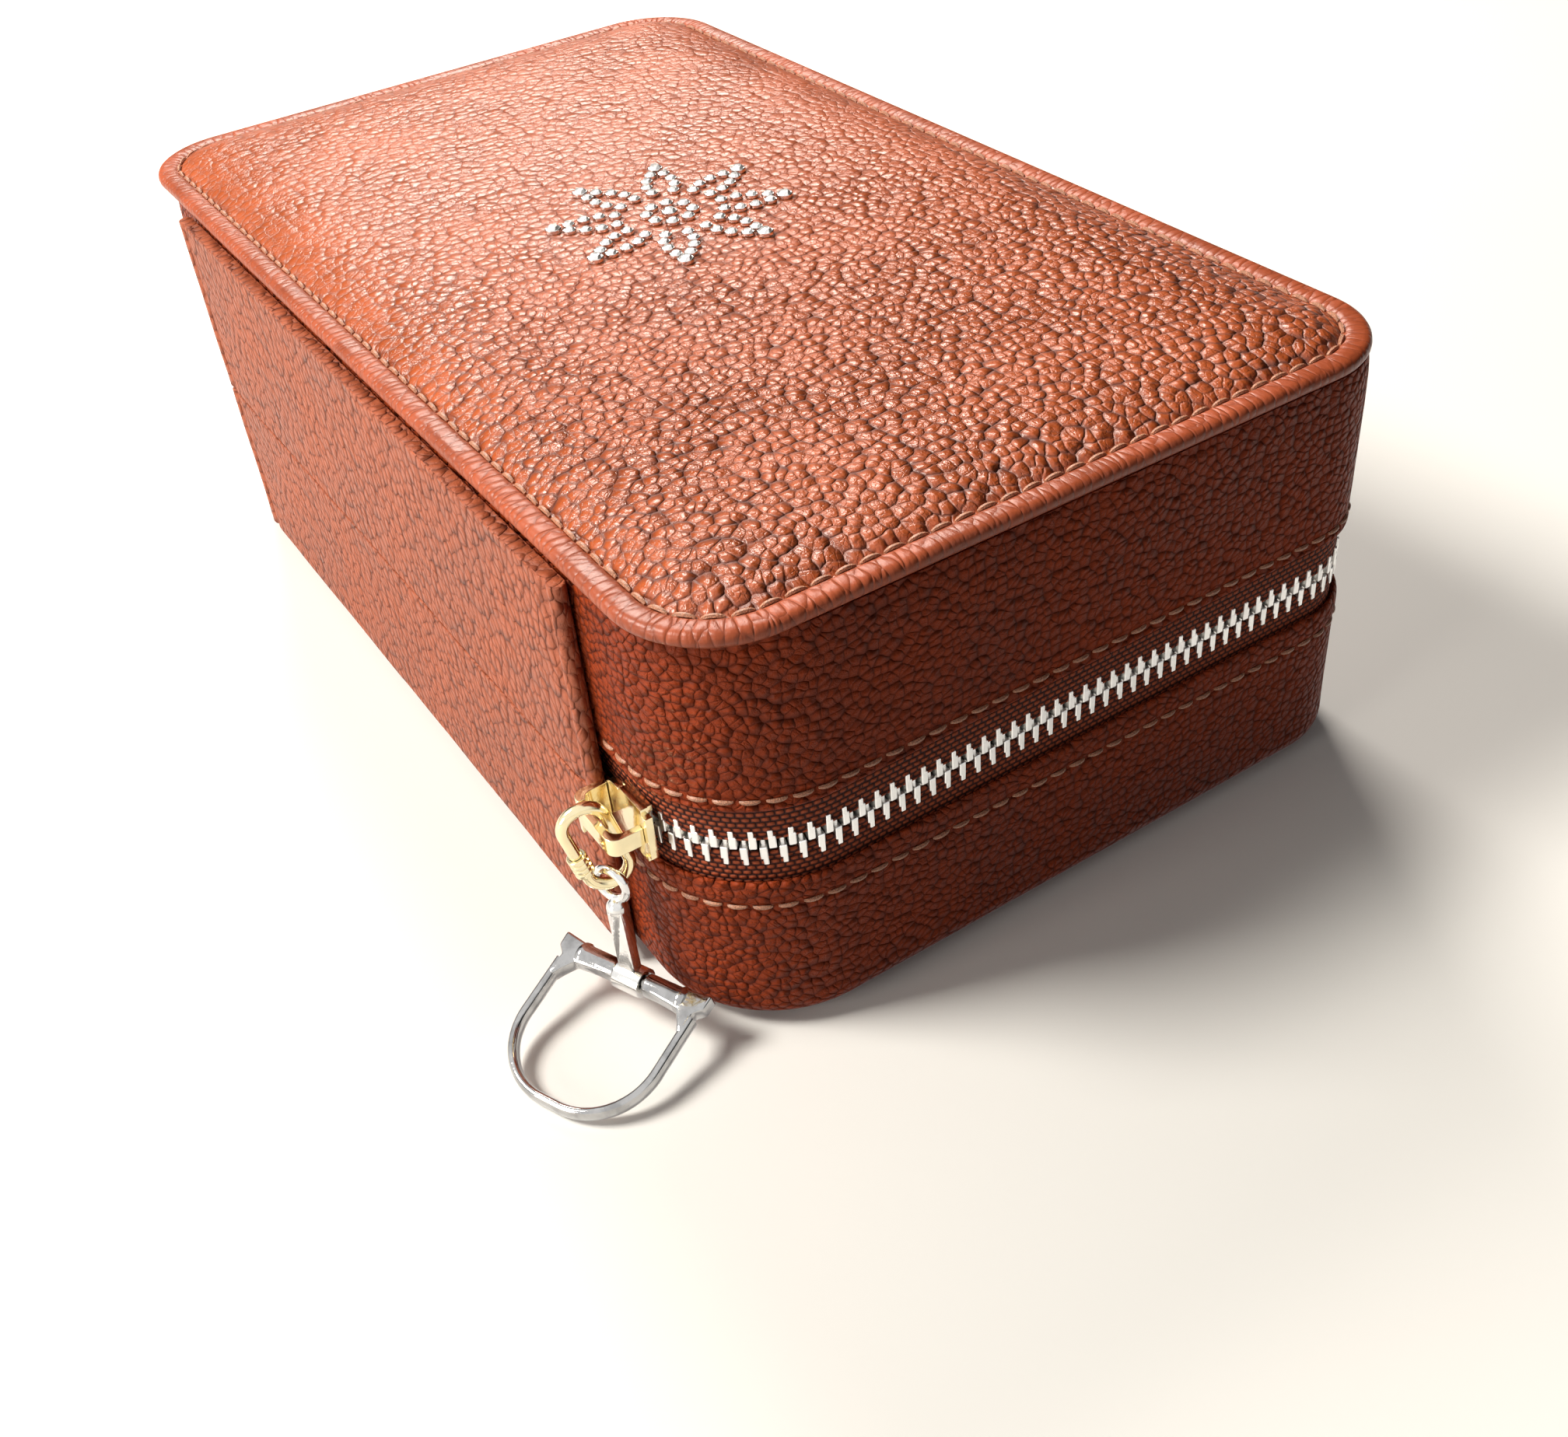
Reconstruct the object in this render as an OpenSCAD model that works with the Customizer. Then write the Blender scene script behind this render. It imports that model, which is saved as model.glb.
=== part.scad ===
// Zip-round leather jewellery case with a padded lid, a metal zip and a stirrup pull.
// Origin: centre of the underside. +X along the case, +Y towards the spine, +Z up.

/* [Case body] */
// Length of the case over its end walls
case_l = 202.4; // [170:1:240]
// Width of the case over its front and spine walls
case_w = 118.4; // [100:1:150]
// Plan radius of the two front corners
front_r = 14; // [10:0.5:18]
// Plan radius of the two spine corners, which the slider runs round
spine_r = 20; // [17:0.5:26]
// Height of the base wall up to its rolled top edge
base_h = 27.7; // [25:0.5:38]
// Height of the lid wall from its folded edge to the rim
lid_wall_h = 27.2; // [20:0.5:40]
// Radius of the rolled bottom edge
bottom_roll_r = 4.2; // [3.4:0.1:5]

/* [Walls] */
// Thickness of the leather
leather_t = 1.1; // [0.8:0.1:1.4]
// Thickness of the board walls
board_t = 2.2; // [1.6:0.1:3]
// Thickness of the board that closes the base and the lid
panel_board_t = 2; // [1.4:0.1:3]
// Thickness of the suede lining
lining_t = 0.9; // [0.5:0.1:1.4]
// Gap between layers that lie on each other
fit = 0.05; // [0.04:0.01:0.1]

/* [Lid top] */
// How far the rim stands past the end walls
rim_over = 0.8; // [0.4:0.1:2]
// How far the rim is set towards the spine
rim_shift = 0.8; // [0:0.1:1.2]
// Plan radius of the rim corners
rim_r = 15; // [12:0.5:18]
// Thickness of the lip under the rim
lip_t = 0.9; // [0.6:0.1:1.2]
// Width of the flat rim outside its stitches
rim_band = 3.8; // [3:0.1:5]
// Height of the flat rim above the lip
rim_t = 2.1; // [1.4:0.1:2.6]
// Height of the padding above the rim
dome_h = 2.6; // [1.6:0.1:6]

/* [Zip] */
// Distance between two teeth of one row
tooth_pitch = 2.5; // [2.4:0.1:3]
// Thickness of a tooth along the chain
tooth_t = 1; // [0.8:0.02:1.04]
// Width of the closed chain
chain_w = 5.8; // [5:0.1:6.4]
// Thickness of a tooth through the chain
chain_t = 2.4; // [2:0.1:2.6]
// Thickness of the woven tape
tape_t = 0.7; // [0.5:0.05:0.8]
// Tape showing between the base edge and the chain's centre
tape_show_low = 5.7; // [5.4:0.1:7]
// Tape showing between the chain's centre and the lid edge
tape_show_high = 6.8; // [6.8:0.1:8]
// Depth of tape sewn in behind the leather edge
tape_tuck = 5.2; // [4:0.1:7]

/* [Spine] */
// Gap between the slider's nose and the end of the spine panel
spine_end_gap = 0.3; // [0.2:0.1:12]
// Thickness of the spine panel with its rolled ends
spine_t = 2.5; // [2:0.1:2.7]

/* [Slider and pull] */
// Length of the slider along the chain
slider_l = 12; // [11:0.2:12.4]
// Half width of the slider across the chain
slider_half_w = 4.5; // [4.1:0.1:4.8]
// Thickness of the slider's plates
slider_plate_t = 1.1; // [0.9:0.1:1.3]
// Radius of the link's wire
link_wire_r = 0.95; // [0.8:0.05:1]
// Radius of the link's round ends, to the middle of the wire
link_end_r = 3; // [2.9:0.05:3.05]
// Straight stretch of the link's sides
link_straight = 8.4; // [7.8:0.2:8.6]
// Width of the stirrup over its sides
stirrup_w = 24.2; // [22:0.2:25]
// Length of the stirrup below its pivot
stirrup_h = 21.3; // [18.3:0.5:22.3]
// Thickness of the stirrup's band
band_t = 1.5; // [1.2:0.1:2]
// Depth of the stirrup's band
band_d = 2.6; // [2:0.1:2.6]

/* [Inside] */
// Height of the compartment walls above the lining
divider_h = 18; // [12:0.5:20]
// Thickness of the compartment walls
divider_t = 2; // [1.5:0.1:3]
// Place of the long divider towards the spine
divider_y = 6; // [-10:0.5:20]
// Place of the front cross divider along the case
front_split_x = 24; // [0:0.5:45]
// Distance of the two spine-side cross dividers from the middle
back_split_x = 32; // [20:0.5:45]
// Radius of a ring roll
roll_r = 6; // [5:0.1:8]
// Length of the mirror in the lid
mirror_l = 150; // [80:1:152]
// Width of the mirror in the lid
mirror_w = 70; // [40:1:74]
// Thickness of the mirror
mirror_t = 1.6; // [1:0.1:2]

/* [Crystal rosette] */
// Radius of a crystal
stone_r = 1.35; // [1:0.05:1.5]
// Distance from the rosette's centre to the tips of its leaves
rosette_r = 19; // [17:0.5:24]
// Number of leaves
leaves = 8; // [6:1:8]

/* [Hidden] */

tan_leather = [0.55, 0.26, 0.16];
dark_leather = [0.42, 0.18, 0.11];
suede = [0.80, 0.70, 0.58];
tape_brown = [0.40, 0.16, 0.09];
card = [0.62, 0.52, 0.40];
pale_gold = [0.86, 0.76, 0.50];
steel = [0.72, 0.72, 0.72];

hx = case_l / 2;
hy = case_w / 2;
slider_x = -(hx - spine_r);
spine_half_l = hx - spine_r - slider_l / 2 - spine_end_gap;
zip_z = base_h + tape_show_low;
lid_z = zip_z + tape_show_high;
rim_z = lid_z + lid_wall_h;
step_gap = 0.4;

// Layers of the wall, as distances in from its outer face
tape_in = leather_t + fit;
tape_out = tape_in + tape_t;
chain_in = (tape_in + tape_out) / 2;
board_in = tape_out + fit;
board_out = board_in + board_t;
lining_in = board_out + fit;
lining_out = lining_in + lining_t;

// Heights of the base's layers
underside_t = 1.3;
roll_low = 0.6;
board_low = 1.8;
floor_z = board_low + panel_board_t;
lining_z = floor_z + fit;
base_floor = lining_z + lining_t;
board_top = base_h - step_gap;

// Heights of the lid's layers
lid_board_low = lid_z + step_gap;
lid_board_top = rim_z - fit * 2;
lid_ceiling = lid_board_top - panel_board_t;
lid_lining_low = lid_ceiling - fit - lining_t;

// Rim outline
rim_hx = hx + rim_over;
rim_hy = hy;
rim_low = rim_z + lip_t + fit;
rim_high = rim_z + lip_t + rim_t;
dome_top = rim_high + dome_h;

// ---- Rounded outline of the case and lofts that follow it ----

arc_steps = 12;

// Corner k of a rounded outline with half sizes a and b, radius rf in front and rs at the spine
function corner_r(k, rf, rs, d) = max((k < 2 ? rs : rf) - d, 1);
function outline_point(k, t, a, b, rf, rs, d, shift) =
    let (
        r = corner_r(k, rf, rs, d),
        sx = (k == 0 || k == 3) ? 1 : -1,
        sy = k < 2 ? 1 : -1,
        angle = 90 * k + 90 * t / arc_steps
    )
    [sx * (a - d - r) + r * cos(angle), sy * (b - d - r) + r * sin(angle) + shift];

function outline_ring(a, b, rf, rs, d, z, shift) =
    [for (k = [0:3]) for (t = [0:arc_steps]) concat(outline_point(k, t, a, b, rf, rs, d, shift), [z])];

function case_ring(d, z) = outline_ring(hx, hy, front_r, spine_r, d, z, 0);
function rim_ring(d, z) = outline_ring(rim_hx, rim_hy, rim_r, rim_r, d, z, rim_shift);

ring_n = 4 * (arc_steps + 1);

function quads(rings) =
    [for (j = [0:rings - 2]) for (i = [0:ring_n - 1])
        [j * ring_n + i, j * ring_n + (i + 1) % ring_n,
         (j + 1) * ring_n + (i + 1) % ring_n, (j + 1) * ring_n + i]];

// Solid through a stack of rings, capped at both ends; the first ring is the lower one
module loft(rings) {
    points = [for (r = rings) each r];
    first = [for (i = [ring_n - 1:-1:0]) i];
    last = [for (i = [0:ring_n - 1]) (len(rings) - 1) * ring_n + i];
    sides = [for (q = quads(len(rings))) [q[0], q[1], q[2], q[3]]];
    polyhedron(points, [for (f = concat([first], sides, [last])) [for (i = [len(f) - 1:-1:0]) f[i]]]);
}

// Band that follows the outline, with a closed cross-section given as rings; it has no caps
module band(rings) {
    points = [for (r = rings) each r];
    n = len(rings);
    faces = [for (j = [0:n - 1]) for (i = [0:ring_n - 1])
        [j * ring_n + i, ((j + 1) % n) * ring_n + i,
         ((j + 1) % n) * ring_n + (i + 1) % ring_n, j * ring_n + (i + 1) % ring_n]];
    polyhedron(points, faces);
}

// Plan shape of the case, set in by d, with true arcs
module case_plan(d) {
    a = hx - d;
    b = hy - d;
    rf = front_r - d;
    rs = spine_r - d;
    for (s = [-1, 1]) {
        translate([s * (a - rs), b - rs]) circle(rs, $fn = 96);
        translate([s * (a - rf), -b + rf]) circle(rf, $fn = 96);
    }
    translate([-a, -b + rf]) square([2 * a, 2 * b - rf - rs]);
    translate([-a + rf, -b]) square([2 * (a - rf), rf * 1.5]);
    translate([-a + rs, b - rs * 1.5]) square([2 * (a - rs), rs * 1.5]);
}

module case_slab(d, low, high) {
    translate([0, 0, low]) linear_extrude(high - low) case_plan(d);
}

module case_wall(d_out, d_in, low, high) {
    translate([0, 0, low]) linear_extrude(high - low) difference() {
        case_plan(d_out);
        case_plan(d_in);
    }
}

// ---- Base ----

module base_board() color(card) difference() {
    union() {
        case_slab(board_in, roll_low + bottom_roll_r, board_top);
        case_slab(board_in + 1, board_low + 1.1, roll_low + bottom_roll_r + 1);
        case_slab(bottom_roll_r + 0.1, board_low, board_low + panel_board_t);
    }
    case_slab(board_out, floor_z, board_top + 1);
}

// Cross-section points of the rolled bottom edge, from under the case to its wall
function roll_points(r, from, to, n) =
    [for (k = [0:n]) let (a = from + (to - from) * k / n)
        [bottom_roll_r + r * cos(a), roll_low + bottom_roll_r + r * sin(a)]];

module base_leather_wall() color(tan_leather) {
    edge = leather_t / 2;
    section = concat(
        roll_points(bottom_roll_r, 270, 180, 5),
        [[0, base_h - edge], [edge * 0.4, base_h - edge * 0.2], [edge, base_h],
         [leather_t - edge * 0.4, base_h - edge * 0.2], [leather_t, base_h - edge]],
        roll_points(bottom_roll_r - leather_t, 180, 270, 5));
    band([for (p = section) case_ring(p[0], p[1])]);
}

module base_underside() color(dark_leather) case_slab(bottom_roll_r + 0.2, 0, underside_t);

module base_lining() color(suede) difference() {
    case_slab(lining_in, lining_z, board_top);
    case_slab(lining_out, base_floor, board_top + 1);
}

// ---- Spine ----

spine_low = hy + 2 * fit;
spine_gap = 0.3;

module spine_plan() {
    end_r = spine_t / 2;
    for (s = [-1, 1]) translate([s * (spine_half_l - end_r), spine_low + end_r]) circle(end_r, $fn = 48);
    translate([-spine_half_l + end_r, spine_low]) square([2 * (spine_half_l - end_r), spine_t]);
}

module spine_panel_lower() color(tan_leather) translate([0, 0, roll_low + bottom_roll_r / 2])
    linear_extrude(zip_z - spine_gap - roll_low - bottom_roll_r / 2) spine_plan();

module spine_panel_upper() color(tan_leather) translate([0, 0, zip_z + spine_gap])
    linear_extrude(rim_z - 0.5 - zip_z - spine_gap) spine_plan();

tuck_l = 7;

module spine_fold() color(dark_leather)
    translate([-spine_half_l + tuck_l + 2, hy - leather_t, base_h + 0.2])
        cube([2 * (spine_half_l - tuck_l - 2), leather_t, lid_z - base_h - 0.4]);

// ---- Zip: path of the chain round the three open sides ----

arc_spine = PI / 2 * (spine_r - chain_in);
arc_front = PI / 2 * (front_r - chain_in);
side_end = 2 * hy - spine_r - front_r;
side_front = 2 * (hx - front_r);
s1 = arc_spine;
s2 = s1 + side_end;
s3 = s2 + arc_front;
s4 = s3 + side_front;
s5 = s4 + arc_front;
s6 = s5 + side_end;
s7 = s6 + arc_spine;

function on_arc(cx, cy, r, from, s) =
    let (angle = from + s / r * 180 / PI)
    [cx + r * cos(angle), cy + r * sin(angle), angle + 90];

// Place [x, y, heading] on the chain; s is zero where the slider's corner begins
function chain_at(s) =
    s < 0 ? [-(hx - spine_r) - s, hy - chain_in, 180]
    : s < s1 ? on_arc(-(hx - spine_r), hy - spine_r, spine_r - chain_in, 90, s)
    : s < s2 ? [-(hx - chain_in), hy - spine_r - (s - s1), 270]
    : s < s3 ? on_arc(-(hx - front_r), -(hy - front_r), front_r - chain_in, 180, s - s2)
    : s < s4 ? [-(hx - front_r) + s - s3, -(hy - chain_in), 0]
    : s < s5 ? on_arc(hx - front_r, -(hy - front_r), front_r - chain_in, 270, s - s4)
    : s < s6 ? [hx - chain_in, -(hy - front_r) + s - s5, 90]
    : s < s7 ? on_arc(hx - spine_r, hy - spine_r, spine_r - chain_in, 0, s - s6)
    : [hx - spine_r - (s - s7), hy - chain_in, 180];

chain_from = -1;
chain_to = s7 + 1;
slider_zone = s1 + slider_l / 3;
tape_edge = 1.5;
tooth_reach = 0.9;

module at_chain(s) {
    p = chain_at(s);
    translate([p[0], p[1], zip_z]) rotate([0, 0, p[2]]) children();
}

// One tooth: a block that grips the tape's edge between two jaws
module tooth(up) {
    t = chain_t / 2;
    slot = tape_t / 2 + fit;
    rotate([90, 0, 90]) linear_extrude(tooth_t, center = true)
        polygon([for (p = [[-t, -tooth_reach], [t, -tooth_reach], [t, chain_w / 2], [slot, chain_w / 2],
            [slot, tape_edge - fit], [-slot, tape_edge - fit], [-slot, chain_w / 2], [-t, chain_w / 2]])
            [p[0], up * p[1]]]);
}

module teeth(up, from, to) color(pale_gold) {
    offset = up > 0 ? 0 : tooth_pitch / 2;
    for (k = [0:floor((chain_to - chain_from - offset) / tooth_pitch)]) {
        s = chain_from + offset + k * tooth_pitch;
        if (s >= from && s < to) at_chain(s) tooth(up);
    }
}

module zip_teeth_lower() teeth(-1, slider_zone, chain_to + 1);
module zip_teeth_lower_corner() teeth(-1, chain_from - 1, slider_zone);
module zip_teeth_upper() teeth(1, slider_zone, chain_to + 1);
module zip_teeth_upper_corner() teeth(1, chain_from - 1, slider_zone);

module tape_plan() difference() {
    case_plan(tape_in);
    case_plan(tape_out);
    half = spine_half_l - tuck_l;
    translate([-half, hy - spine_r / 2]) square([2 * half, spine_r]);
}

// The stretch of tape that the slider passes over
module slider_corner_plan() {
    over = leather_t;
    translate([-hx - over, hy - spine_r - (slider_zone - s1)])
        square([hx - spine_half_l + tuck_l + 2 * over, spine_r + slider_zone - s1 + over]);
}

module zip_tape_lower() color(tape_brown) translate([0, 0, base_h - tape_tuck])
    linear_extrude(zip_z - tape_edge - base_h + tape_tuck) tape_plan();

module upper_tape_stretch() {
    translate([0, 0, zip_z + tape_edge]) linear_extrude(lid_z + tape_tuck - zip_z - tape_edge) children();
}

module zip_tape_upper() color(tape_brown) upper_tape_stretch() difference() {
    tape_plan();
    slider_corner_plan();
}

module zip_tape_upper_corner() color(tape_brown) upper_tape_stretch() intersection() {
    tape_plan();
    slider_corner_plan();
}

// Stops clamped on the tapes past the last teeth; the slider closes against the far one
module stops(up) color(pale_gold) at_chain(chain_to + 2.2) {
    t = chain_t / 2;
    slot = tape_t / 2 + fit;
    rotate([90, 0, 90]) linear_extrude(1.8, center = true)
        polygon([for (p = [[-t, 0.1], [t, 0.1], [t, chain_w / 2], [slot, chain_w / 2],
            [slot, tape_edge - fit], [-slot, tape_edge - fit], [-slot, chain_w / 2], [-t, chain_w / 2]])
            [p[0], up * p[1]]]);
}

module zip_stops_lower() stops(-1);
module zip_stops_upper() stops(1);

// ---- Slider ----

chain_y = hy - chain_in;
run_gap = 0.15;
arc_sag = pow(slider_l / 2, 2) / (2 * (spine_r - chain_in));
plate_in_y = chain_y + chain_t / 2 + run_gap;
plate_out_y = plate_in_y + slider_plate_t;
inner_plate_y = chain_y - chain_t / 2 - arc_sag - run_gap;
nose_x = slider_x + slider_l / 2;
tail_x = slider_x - slider_l / 2;

module slider_plan(half_w) {
    nose_r = half_w - 0.4;
    translate([nose_x - nose_r, 0]) circle(nose_r, $fn = 64);
    translate([tail_x + 1, -half_w]) square([slider_l - nose_r - 2.2, 2 * half_w]);
    translate([tail_x, -half_w + 1]) square([slider_l - nose_r - 1, 2 * half_w - 2]);
}

module across_slider(y_low, y_high) {
    translate([0, y_high, zip_z]) rotate([90, 0, 0]) linear_extrude(y_high - y_low) children();
}

module slider_rails() {
    for (s = [-1, 1]) translate([tail_x + 1.2, s * (slider_half_w - 0.55) - 0.5]) square([slider_l - 5.6, 1]);
}

module slider_body() color(pale_gold) {
    across_slider(plate_in_y, plate_out_y) slider_plan(slider_half_w);
    across_slider(inner_plate_y - slider_plate_t, inner_plate_y) slider_plan(slider_half_w);
    across_slider(plate_in_y - 0.7, plate_in_y + 0.1) slider_rails();
    across_slider(inner_plate_y - 0.1, inner_plate_y + 0.7) slider_rails();
    across_slider(inner_plate_y - 0.1, plate_in_y + 0.1)
        translate([nose_x - 3.2, -1]) square([2.6, 2]);
}

bridge_half_l = 5.3;
bridge_h = 4.9;
bridge_w = 2.8;
bridge_t = 1.1;
nose_leg_w = 5.6;
nose_leg_l = 2.2;

module bridge_outline(half_l, h) {
    r = 1.6;
    translate([-half_l, 0]) square([2 * half_l, h - r]);
    translate([-half_l + r, 0]) square([2 * (half_l - r), h]);
    for (s = [-1, 1]) translate([s * (half_l - r), h - r]) circle(r, $fn = 48);
}

module bridge_profile() difference() {
    bridge_outline(bridge_half_l, bridge_h);
    translate([0, -1]) bridge_outline(bridge_half_l - bridge_t, bridge_h - bridge_t + 1);
}

module slider_bridge() color(pale_gold) translate([slider_x + 0.3, plate_out_y + fit, zip_z]) {
    translate([0, 0, -bridge_w / 2]) linear_extrude(bridge_w) bridge_profile();
    translate([0, 0, -nose_leg_w / 2]) linear_extrude(nose_leg_w) intersection() {
        bridge_profile();
        translate([bridge_half_l - nose_leg_l, -1]) square([nose_leg_l + 1, bridge_h + 2]);
    }
}

// ---- Pull: link, eye bar and stirrup ----

link_angle = 79;
link_lean = 14;
link_rise = 2.4;
link_y = plate_out_y + link_wire_r / cos(link_lean) + slider_half_w * tan(link_lean) + 0.36;

// Frame of the link: x out from the case, y along the link, with its middle at the origin
module at_link() {
    translate([slider_x, link_y, zip_z]) rotate([90, 0, link_angle]) rotate([0, 0, -link_lean])
        translate([link_end_r, -link_rise, 0]) children();
}

module pull_link() color(pale_gold) at_link() {
    for (s = [-1, 1]) {
        translate([s * link_end_r, -link_straight / 2, 0]) rotate([-90, 0, 0])
            cylinder(link_straight, link_wire_r, link_wire_r, $fn = 48);
        translate([0, s * link_straight / 2, 0]) rotate([0, 0, s > 0 ? 0 : 180])
            rotate_extrude(angle = 180, $fn = 64) translate([link_end_r, 0]) circle(link_wire_r, $fn = 32);
    }
}

collar_l = 3.4;
collar_t = 0.45;

module link_collar() color(pale_gold) at_link()
    translate([link_end_r, -link_straight / 2 + 1, 0]) rotate([-90, 0, 0]) difference() {
        cylinder(collar_l, link_wire_r + collar_t, link_wire_r + collar_t, $fn = 48);
        translate([0, 0, -1]) cylinder(collar_l + 2, link_wire_r + 0.02, link_wire_r + 0.02, $fn = 48);
    }

// Lowest point of the link's wire, which the eye hangs on
low_arm = link_rise + link_straight / 2;
wire_out = link_end_r * cos(link_lean) - low_arm * sin(link_lean);
wire_up = -link_end_r * (1 + sin(link_lean)) - low_arm * cos(link_lean);
wire_x = slider_x + wire_out * cos(link_angle);
wire_y = link_y + wire_out * sin(link_angle);
wire_z = zip_z + wire_up;
eye_wire_r = 0.7;
eye_r = 2.5;
eye_play = 0.56;

// The bar leans aside and out from the eye to the stirrup's pivot
stirrup_turn = 23.8;
bar_l = 16.2;
bar_aside = 7.9;
bar_swing = 6.5;
bar_w = 2.6;
bar_t = 1.7;
eye_x = wire_x;
eye_y = wire_y;
eye_z = wire_z - (eye_r - eye_wire_r - link_wire_r - eye_play);
along = -bar_l * sin(bar_aside);
out = bar_l * cos(bar_aside) * sin(bar_swing);
pivot_x = eye_x + along * cos(stirrup_turn) - out * sin(stirrup_turn);
pivot_y = eye_y + along * sin(stirrup_turn) + out * cos(stirrup_turn);
pivot_z = eye_z - bar_l * cos(bar_aside) * cos(bar_swing);
knuckle_r = 2.2;
knuckle_l = 4.4;
pin_r = 0.8;
pin_play = 0.05;
rest_gap = 0.05;

module eye_bar() color(steel) difference() {
    union() {
        translate([eye_x, eye_y, eye_z]) rotate([0, 0, stirrup_turn]) {
            rotate([90, 0, 0]) rotate_extrude($fn = 64) translate([eye_r, 0]) circle(eye_wire_r, $fn = 32);
            rotate([bar_swing, bar_aside, 0]) {
                translate([0, 0, -eye_r - 1.4]) sphere(1.5, $fn = 48);
                translate([-bar_w / 2, -bar_t / 2, -bar_l + pin_r + 0.6])
                    cube([bar_w, bar_t, bar_l - pin_r - 0.6 - eye_r - 1.4]);
            }
        }
        translate([pivot_x, pivot_y, pivot_z]) rotate([0, 90, stirrup_turn])
            cylinder(knuckle_l, knuckle_r, knuckle_r, center = true, $fn = 64);
    }
    translate([pivot_x, pivot_y, pivot_z]) rotate([0, 90, stirrup_turn])
        cylinder(knuckle_l + 2, pin_r + pin_play, pin_r + pin_play, center = true, $fn = 48);
}

// The stirrup's foot rests on the table
hoop_y = stirrup_h;
rest_arm = norm([stirrup_h, band_d / 2]);
stirrup_dip = asin((pivot_z - rest_gap) / rest_arm) - atan2(band_d / 2, stirrup_h);

// Frame of the stirrup: x along its crossbar, y towards its foot
module at_stirrup() {
    translate([pivot_x, pivot_y, pivot_z]) rotate([0, 0, stirrup_turn]) rotate([-stirrup_dip, 0, 0]) children();
}

hoop_w = stirrup_w / 2;
bend_r = 10.6;
lug_in = knuckle_l / 2 + 0.25;
sleeve_r = 1.7;
pin_half_l = 6;

module hoop_fill(d) {
    r = bend_r - d;
    a = hoop_w - d;
    for (s = [-1, 1]) translate([s * (a - r), hoop_y - bend_r]) circle(r, $fn = 96);
    translate([-a, -1]) square([2 * a, hoop_y - bend_r + 1]);
    translate([-a + r, hoop_y - bend_r - 1]) square([2 * (a - r), r + 1]);
}

module hoop_plan() difference() {
    hoop_fill(0);
    translate([0, -1]) hoop_fill(band_t);
    hoop_fill(band_t);
}

module lug_plan(side) {
    edge = hoop_w - band_t / 2;
    polygon([for (p = [[lug_in, -1.3], [hoop_w - 3, -1.5], [hoop_w + 0.6, -2], [hoop_w + 0.5, 0.3],
        [edge, 1.4], [edge, 4.6], [hoop_w - band_t - 0.4, 4], [hoop_w - 3.2, 1.8], [lug_in, 1.3]])
        [side * p[0], p[1]]]);
}

module stirrup_frame() color(steel) at_stirrup() difference() {
    union() {
        translate([0, 0, -band_d / 2]) linear_extrude(band_d) {
            hoop_plan();
            lug_plan(1);
            lug_plan(-1);
        }
        for (s = [-1, 1]) translate([s * (lug_in + 3), 0, 0]) rotate([0, 90, 0])
            cylinder(6, sleeve_r, sleeve_r, center = true, $fn = 48);
    }
    rotate([0, 90, 0]) cylinder(2 * pin_half_l + 0.1, pin_r + 0.02, pin_r + 0.02, center = true, $fn = 48);
}

module stirrup_pin() color(steel) at_stirrup() rotate([0, 90, 0])
    cylinder(2 * pin_half_l, pin_r, pin_r, center = true, $fn = 48);

// ---- Inside of the base ----

inner_hx = hx - lining_out - fit;
inner_hy = hy - lining_out - fit;
front_depth = inner_hy + divider_y - divider_t / 2;
divider_z = base_floor + fit;

module divider_long() color(suede) translate([-inner_hx, divider_y - divider_t / 2, divider_z])
    cube([2 * inner_hx, divider_t, divider_h]);

module divider_front() color(suede)
    translate([front_split_x - divider_t / 2, -inner_hy, divider_z])
        cube([divider_t, front_depth - fit, divider_h]);

module dividers_spine_side() color(suede) {
    low_y = divider_y + divider_t / 2 + fit;
    for (s = [-1, 1]) translate([s * back_split_x - divider_t / 2, low_y, divider_z])
        cube([divider_t, inner_hy - low_y, divider_h]);
}

// Padded rolls that hold rings between them
roll_pitch = 2 * roll_r + 0.6;
roll_from = -inner_hx + front_r - lining_out + roll_r;
roll_n = floor((front_split_x - divider_t / 2 - roll_from - roll_r) / roll_pitch);

module ring_rolls() color(suede)
    for (k = [0:roll_n]) translate([roll_from + k * roll_pitch, divider_y - divider_t / 2 - 0.3, divider_z + roll_r])
        rotate([90, 0, 0]) cylinder(front_depth - 0.6, roll_r, roll_r, $fn = 64);

// ---- Lid ----

module lid_board() color(card) difference() {
    case_slab(board_in, lid_board_low, lid_board_top);
    case_slab(board_out, lid_board_low - 1, lid_ceiling);
}

module lid_leather_wall() color(tan_leather) {
    edge = leather_t / 2;
    top = rim_z - fit;
    section = [[0, top], [0, lid_z + edge], [edge * 0.4, lid_z + edge * 0.2], [edge, lid_z],
        [leather_t - edge * 0.4, lid_z + edge * 0.2], [leather_t, lid_z + edge], [leather_t, top]];
    band([for (k = [len(section) - 1:-1:0]) case_ring(section[k][0], section[k][1])]);
}

module lid_rim_lip() color(dark_leather) {
    section = [[0.3, rim_z], [0, rim_z + lip_t / 2], [0.3, rim_z + lip_t], [rim_band + 3, rim_z + lip_t],
        [rim_band + 3, rim_z]];
    band([for (p = section) rim_ring(p[0], p[1])]);
}

// Height of the padded leather over the distance in from the rim's edge
pad_start = rim_band + 0.7;
pad_run = 20;
function pad_z(d) = let (t = min((d - pad_start) / pad_run, 1)) rim_high - 0.3 + (dome_h + 0.3) * pow(1 - pow(1 - t, 3), 0.75);
pad_steps = [0, 0.03, 0.08, 0.16, 0.28, 0.44, 0.64, 0.84, 1];
top_t = 1.2;

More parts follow.
